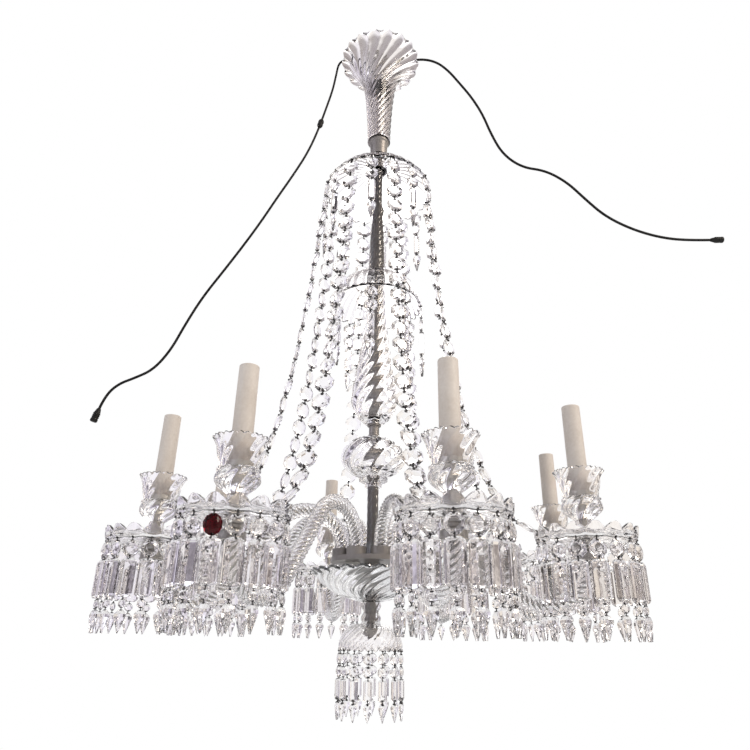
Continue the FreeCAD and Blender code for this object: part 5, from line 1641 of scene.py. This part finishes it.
@dataclass
class Crystals:
    """All hung crystals and chains, with the wire pins between them."""

    seed: int = 11
    string_sway: float = 0.30
    chain_sway: float = 0.35
    chain_thinness: float = 0.25
    hook: float = 2.0
    link: float = 2.0
    pin_reach: float = 3.2
    upper_circle: Pair = (103.0, level(366.0))
    middle_circle: Pair = (82.0, level(628.5))
    bottom_circle: Pair = (46.0, level(1202.0))
    bottom_count: int = 14
    bottom_phase: float = 0.25
    dish_string: tuple = ((Cut.OCTAGON, 23.0, 23.0, 6.0), (Cut.OCTAGON, 23.0, 23.0, 6.0),
                          (Cut.PRISM, 14.0, 46.0, 8.0), (Cut.SPEAR, 17.0, 38.0, 9.0))
    bottom_string: tuple = ((Cut.OCTAGON, 14.5, 14.5, 5.2), (Cut.OCTAGON, 14.5, 14.5, 5.2),
                            (Cut.PRISM, 12.5, 27.0, 7.0), (Cut.SPEAR, 12.0, 23.0, 7.0))
    pan_string: tuple = ((Cut.OCTAGON, 22.0, 22.0, 7.9), (Cut.PRISM, 22.0, 48.0, 11.0),
                         (Cut.OCTAGON, 11.0, 11.0, 4.0), (Cut.SPEAR, 15.0, 28.0, 9.0))
    pan_places: int = 16
    red_size: tuple = (19.5, 22.5, 9.0)
    red_place: tuple[int, int] = (7, 1)
    red_turn: float = math.radians(-78)
    drop_circle: float = 62.0
    pan_z: float = PAN_Z
    chain_top: Pair = (103.0, level(366.15))
    chain_foot: Pair = (257.0, level(1046.7))
    chain_size: float = 29.0
    chain_pitch: float = 33.0
    chain_slack: float = 1.025
    shapes: dict[Cut, Piece] = field(default_factory=dict)
    pins: list[Hung] = field(default_factory=list)

    def facets(self, name: str, rings: Sequence[Sequence[tuple]], zigzag: Sequence[bool]) -> Piece:
        """Closed cut shape from rings of corners.

        Args:
            name: the shape's name.
            rings: corner points of each level, equally many in each.
            zigzag: for each pair of levels, whether the next is turned half a step, so triangles join them.

        Returns:
            The shape, hidden, as a model for copies.
        """
        count = len(rings[0])
        spots = [spot for ring in rings for spot in ring]
        faces: list[tuple] = [tuple(range(count))]
        for row, turned in enumerate(zigzag):
            low, high = row * count, (row + 1) * count
            for k in range(count):
                after = (k + 1) % count
                if turned:
                    faces += [(low + k, low + after, high + k), (low + after, high + after, high + k)]
                else:
                    faces.append((low + k, low + after, high + after, high + k))
        faces.append(tuple(range((len(rings) - 1) * count, len(rings) * count)))
        piece = new_piece(name, spots, (), faces)
        outward(piece)
        piece.hide_render = True
        return piece

    def plate(self, name: str, corners: int) -> Piece:
        """Flat many-cornered crystal: a table, stars and kites in front, a plainer back.

        Args:
            name: the shape's name.
            corners: number of corners.

        Returns:
            The shape, hidden.
        """
        half = math.pi / corners

        def ring(x: float, share: float, turn: float) -> list[tuple]:
            """Corners of one level of the plate."""
            reach = share * 0.5 / math.cos(half)
            angles = [(2 * k + 1) * half + turn for k in range(corners)]
            return [(x, reach * math.sin(angle), -0.5 + reach * math.cos(angle)) for angle in angles]

        rings = [ring(0.5, 0.50, 0.0), ring(0.34, 0.80, half), ring(0.10, 1.0, 2 * half),
                 ring(-0.10, 1.0, 2 * half), ring(-0.5, 0.56, 2 * half)]
        return self.facets(name, rings, [True, True, False, False])

    def bar(self, name: str, levels: Sequence[Pair], table: float) -> Piece:
        """Long crystal of eight sides; levels are (share of the length, share of the width) pairs.

        Args:
            name: the shape's name.
            levels: the levels, from the top.
            table: half the width of the flat front.

        Returns:
            The shape, hidden.
        """
        section = [(0.5, table), (0.5, -table), (0.12, -0.5), (-0.12, -0.5), (-0.5, -table), (-0.5, table),
                   (-0.12, 0.5), (0.12, 0.5)]
        rings = [[(x * (0.35 + 0.65 * share), y * share, -down) for x, y in section]
                 for down, share in levels]
        return self.facets(name, rings, [False] * (len(levels) - 1))

    def pin_shape(self) -> Piece:
        """Wire link in millimetres: a headed pin through each of two crystals and a wire that joins them.

        Returns:
            The shape, hidden.
        """
        profile = ((-2.9, 0.9), (-2.2, 1.7), (2.2, 1.7), (2.9, 0.9))
        sides = 6
        angles = [2 * math.pi * k / sides for k in range(sides)]
        spots, faces = [], []
        for middle in (self.pin_reach, -self.pin_reach):
            first = len(spots)
            for x, r in profile:
                spots += [(x, r * math.cos(angle), middle + r * math.sin(angle)) for angle in angles]
            for row in range(len(profile) - 1):
                low = first + row * sides
                faces += [(low + k, low + (k + 1) % sides, low + sides + (k + 1) % sides, low + sides + k)
                          for k in range(sides)]
            faces += [tuple(range(first, first + sides)), tuple(range(len(spots) - sides, len(spots)))]
        first = len(spots)
        for z in (self.pin_reach - 1.0, 1.0 - self.pin_reach):
            spots += [(0.9, 0.7, z), (-0.9, 0.7, z), (-0.9, -0.7, z), (0.9, -0.7, z)]
        faces += [(first + k, first + (k + 1) % 4, first + 4 + (k + 1) % 4, first + 4 + k) for k in range(4)]
        faces += [tuple(range(first, first + 4)), tuple(range(first + 4, first + 8))]
        piece = new_piece("PinShape", spots, (), faces)
        outward(piece)
        piece.hide_render = True
        return piece

    def models(self) -> None:
        """Make the model of each cut once."""
        self.shapes[Cut.OCTAGON] = self.plate("OctagonShape", 8)
        self.shapes[Cut.OVAL] = self.plate("OvalShape", 12)
        self.shapes[Cut.PRISM] = self.bar("PrismShape", [(0.0, 0.58), (0.05, 0.90), (0.09, 1.0), (0.91, 1.0),
                                                         (0.95, 0.90), (1.0, 0.58)], 0.26)
        self.shapes[Cut.SPEAR] = self.bar("SpearShape", [(0.0, 0.30), (0.10, 0.74), (0.19, 0.98), (0.30, 1.0),
                                                         (0.64, 0.57), (0.97, 0.12), (1.0, 0.05)], 0.12)
        self.shapes[Cut.PIN] = self.pin_shape()

    def points(self, name: str, places: Sequence[Hung]) -> Piece:
        """Loose points that carry a turn and a size each.

        Args:
            name: the object's name.
            places: the crystals' places.

        Returns:
            The points' object.
        """
        piece = new_piece(name, [[c * MM for c in hung.top] for hung in places])
        for key in ("turn", "size"):
            values = np.array([getattr(hung, key) for hung in places], np.float32)
            if key == "size":
                values *= MM
            layer = piece.data.attributes.new(key, "FLOAT_VECTOR", "POINT")
            layer.data.foreach_set("vector", values.ravel())
        return piece

    def string_up(self, builder: Builder, name: str, cut: Cut, places: Sequence[Hung],
                  finish: Finish) -> Piece:
        """All copies of one cut as one piece.

        Args:
            builder: holds the library.
            name: the piece's name.
            cut: shape to repeat.
            places: where each copy hangs.
            finish: what it is made of.

        Returns:
            The piece.
        """
        piece = self.points(name, places)
        grow(piece, builder.library.strung, Shape=self.shapes[cut], Finish=builder.library.of(finish))
        for layer in ("turn", "size"):
            if layer in piece.data.attributes:
                piece.data.attributes.remove(piece.data.attributes[layer])
        return piece

    def hang(self, found: dict[int, list[Hung]], pins: list[Hung], string: Sequence[tuple], start: Vector,
             yaw: float, dice: random.Random) -> None:
        """Add one straight string's crystals and pins.

        Args:
            found: places so far, by the crystal's number in the string.
            pins: pin places so far.
            string: (cut, width, length, thickness) of each crystal.
            start: point of the rim that the string hangs from, in millimetres.
            yaw: turn that faces the crystals away from their centre.
            dice: seeded source of the small turns real strings take.
        """
        height = start.z - self.hook
        gap = self.hook
        above = string[0][2]
        for number, (_, width, length, thickness) in enumerate(string):
            sway = dice.uniform(-self.string_sway, self.string_sway)
            scale = min(0.85, 0.35 + min(above, length) / 50.0)
            above = length
            turn = (0.0, 0.0, yaw + sway)
            pins.append(Hung((start.x, start.y, height + gap / 2), turn, (scale, scale, scale)))
            crystal = Hung((start.x, start.y, height), turn, (thickness, width, length))
            found.setdefault(number, []).append(crystal)
            height -= length + self.link
            gap = self.link

    def dish_drops(self, builder: Builder, name: str, node: str, place: Pair, string: tuple, count: int,
                   phase: float = 0.5) -> None:
        """Strings round a dish.

        Args:
            builder: places the pieces.
            name: start of the pieces' names.
            node: CAD node they stand for.
            place: the circle's radius and the rim's height.
            string: the crystals of one string.
            count: number of strings.
            phase: the first string's turn from the first arm, in steps between strings.
        """
        circle, rim = place
        dice = random.Random(f"{self.seed}{node}")
        found: dict[int, list[Hung]] = {}
        for index in range(count):
            angle = FIRST_ARM + (index + phase) * 2 * math.pi / count
            start = direction(angle) * circle + Vector((0.0, 0.0, rim))
            self.hang(found, self.pins, string, start, angle - math.pi / 2, dice)
        for number, places in found.items():
            cut = string[number][0]
            piece = self.string_up(builder, f"{name}_{number + 1}_{cut.value}", cut, places, CUT_GLASS)
            builder.place(piece, CUT_GLASS, *([node] if number == 0 else []))

    def pan_drops(self, builder: Builder) -> None:
        """Strings all round each pan but for one place over the arm; one octagon is a dark red oval.

        Args:
            builder: places the pieces.
        """
        dice = random.Random(self.seed)
        found: dict[int, list[Hung]] = {}
        red: dict = {}
        for arm in range(ARM_COUNT):
            centre = direction(arm_angle(arm)) * ARM_RING
            for index in range(self.pan_places):
                if index == self.pan_places // 2:
                    continue
                angle = arm_angle(arm) + index * 2 * math.pi / self.pan_places
                start = centre + direction(angle) * self.drop_circle + Vector((0.0, 0.0, self.pan_z))
                here: dict = {}
                self.hang(here, self.pins, self.pan_string, start, angle - math.pi / 2, dice)
                if (arm, index) == self.red_place:
                    red[0] = here.pop(0)
                for number, places in here.items():
                    found.setdefault(number, []).extend(places)
        nodes = ("pan_octagons", "pan_prisms", "pan_beads", "pan_spears")
        for number, node in enumerate(nodes):
            title = "".join(word.capitalize() for word in node.split("_"))
            # The pan drops' lilac-grey tint is painted shade.
            piece = self.string_up(builder, title, self.pan_string[number][0], found[number], SHADED_CUT_GLASS)
            builder.place(piece, SHADED_CUT_GLASS, node)
        width, length, thickness = self.red_size
        old = red[0][0]
        faces_front = Hung(old.top, (0.0, 0.0, self.red_turn), (thickness, width, length))
        piece = self.string_up(builder, "RedCrystal", Cut.OVAL, [faces_front], RED_GLASS)
        builder.place(piece, RED_GLASS, "red_crystal")

    def chain_line(self) -> list[Pair]:
        """Joints of a chain along its hanging curve, a pitch apart, as in the part's source.

        Returns:
            The (distance from the rod, height) points, from the top.
        """
        top, foot = self.chain_top, self.chain_foot
        across, fall = foot[0] - top[0], top[1] - foot[1]
        length = math.hypot(across, fall) * self.chain_slack
        count = max(round(length / self.chain_pitch), 2)
        target = math.sqrt(length ** 2 - fall ** 2)
        low, high = across / 40, across * 40
        for _ in range(80):
            scale = (low + high) / 2
            if 2 * scale * math.sinh(across / (2 * scale)) > target:
                low = scale
            else:
                high = scale
        middle = scale * math.asinh(fall / (2 * scale * math.sinh(across / (2 * scale))))
        lowest = across / 2 + middle
        start = math.sinh(-lowest / scale)
        joints = []
        for step in range(count + 1):
            offset = scale * math.asinh(start + length * step / count / scale)
            height = scale * (math.cosh(offset / scale) - math.cosh(lowest / scale))
            joints.append((top[0] + lowest + offset, top[1] + height))
        return joints

    def chains(self, builder: Builder) -> None:
        """Eight chains of octagons from the upper dish to the pans.

        Args:
            builder: places the pieces.
        """
        joints = self.chain_line()
        size = self.chain_size
        for index in range(ARM_COUNT):
            number = index + 1
            dice = random.Random(self.seed * 100 + index)
            angle = arm_angle(index)
            links, pins = [], []
            for (r_top, z_top), (r_foot, z_foot) in zip(joints[:-1], joints[1:]):
                span = math.hypot(r_foot - r_top, z_foot - z_top)
                lean = math.atan2(r_foot - r_top, z_top - z_foot)
                gap = (span - size) / 2
                share = gap / span
                at = direction(angle) * (r_top + (r_foot - r_top) * share)
                top = (at.x, at.y, z_top + (z_foot - z_top) * share)
                base = Matrix.Rotation(angle - math.pi / 2, 4, "Z") @ Matrix.Rotation(-lean, 4, "Y")
                turned = base @ Matrix.Rotation(dice.uniform(-self.chain_sway, self.chain_sway), 4, "Z")
                links.append(Hung(top, tuple(turned.to_euler()), (size * self.chain_thinness, size, size)))
                joint = direction(angle) * r_top
                pins.append(Hung((joint.x, joint.y, z_top), tuple(base.to_euler()), (1.2, 1.0, 1.25)))
            body = f"{Body.CHAIN.value}{number}"
            piece = self.string_up(builder, f"Chain_{number}", Cut.OCTAGON, links, CHAIN_GLASS)
            builder.place(piece, CHAIN_GLASS, f"chain_{number}", body=body)
            wires = self.string_up(builder, f"ChainPins_{number}", Cut.PIN, pins, PIN_METAL)
            builder.place(wires, PIN_METAL, body=body)

    def build(self, builder: Builder) -> None:
        """Make every string, chain and pin.

        Args:
            builder: places the pieces.
        """
        self.models()
        self.dish_drops(builder, "UpperDrops", "upper_dish_drops", self.upper_circle, self.dish_string,
                        ARM_COUNT)
        self.dish_drops(builder, "MiddleDrops", "middle_dish_drops", self.middle_circle, self.dish_string,
                        ARM_COUNT)
        self.dish_drops(builder, "BottomDrops", "bottom_dish_drops", self.bottom_circle, self.bottom_string,
                        self.bottom_count, self.bottom_phase)
        self.pan_drops(builder)
        wires = self.string_up(builder, "StringPins", Cut.PIN, self.pins, PIN_METAL)
        builder.place(wires, PIN_METAL)
        self.chains(builder)
        for shape in self.shapes.values():
            bpy.data.objects.remove(shape)


# ---- CAD nodes that stay ---------------------------------------------------------------------------
KEPT_NODES: dict[str, Opaque] = {
    "hanging_eye": COLLAR_METAL,
    "central_rod": COLUMN_METAL,
    "cord_grip": CONNECTOR_PLASTIC,
    "arm_plate": COLUMN_METAL,
    "bottom_nut": COLLAR_METAL,
    "lamp_holders": HOLDER_METAL,
    "rod_cable": CABLE_SHEATH,
    "arm_cables": CABLE_SHEATH,
    "terminal_block": TERMINAL_PLASTIC,
}


def dress_kept(library: Library) -> None:
    """Give each CAD node that stays its material.

    Args:
        library: holds the materials.
    """
    for name, finish in KEPT_NODES.items():
        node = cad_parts[name]
        node.data.materials.clear()
        node.data.materials.append(library.of(finish))


def render_settings() -> None:
    """Plain colours, and enough light paths for light to cross many glass walls."""
    scene = bpy.context.scene
    scene.view_settings.view_transform = "Standard"
    scene.cycles.max_bounces = 28
    scene.cycles.transmission_bounces = 28
    scene.cycles.glossy_bounces = 8
    scene.cycles.diffuse_bounces = 3


def main() -> None:
    """Build the whole scene."""
    logging.basicConfig(level=logging.INFO, format="%(name)s %(message)s")
    render_settings()
    Studio().build()
    builder = Builder()
    Leads().build(builder)
    column = Column()
    column.build(builder)
    Receiver().build(builder, column)
    Arms().build(builder)
    Crystals().build(builder)
    dress_kept(builder.library)
    LOG.info("%d pieces made", builder.count)
    bpy.context.view_layer.update()


if __name__ == "__main__":
    main()
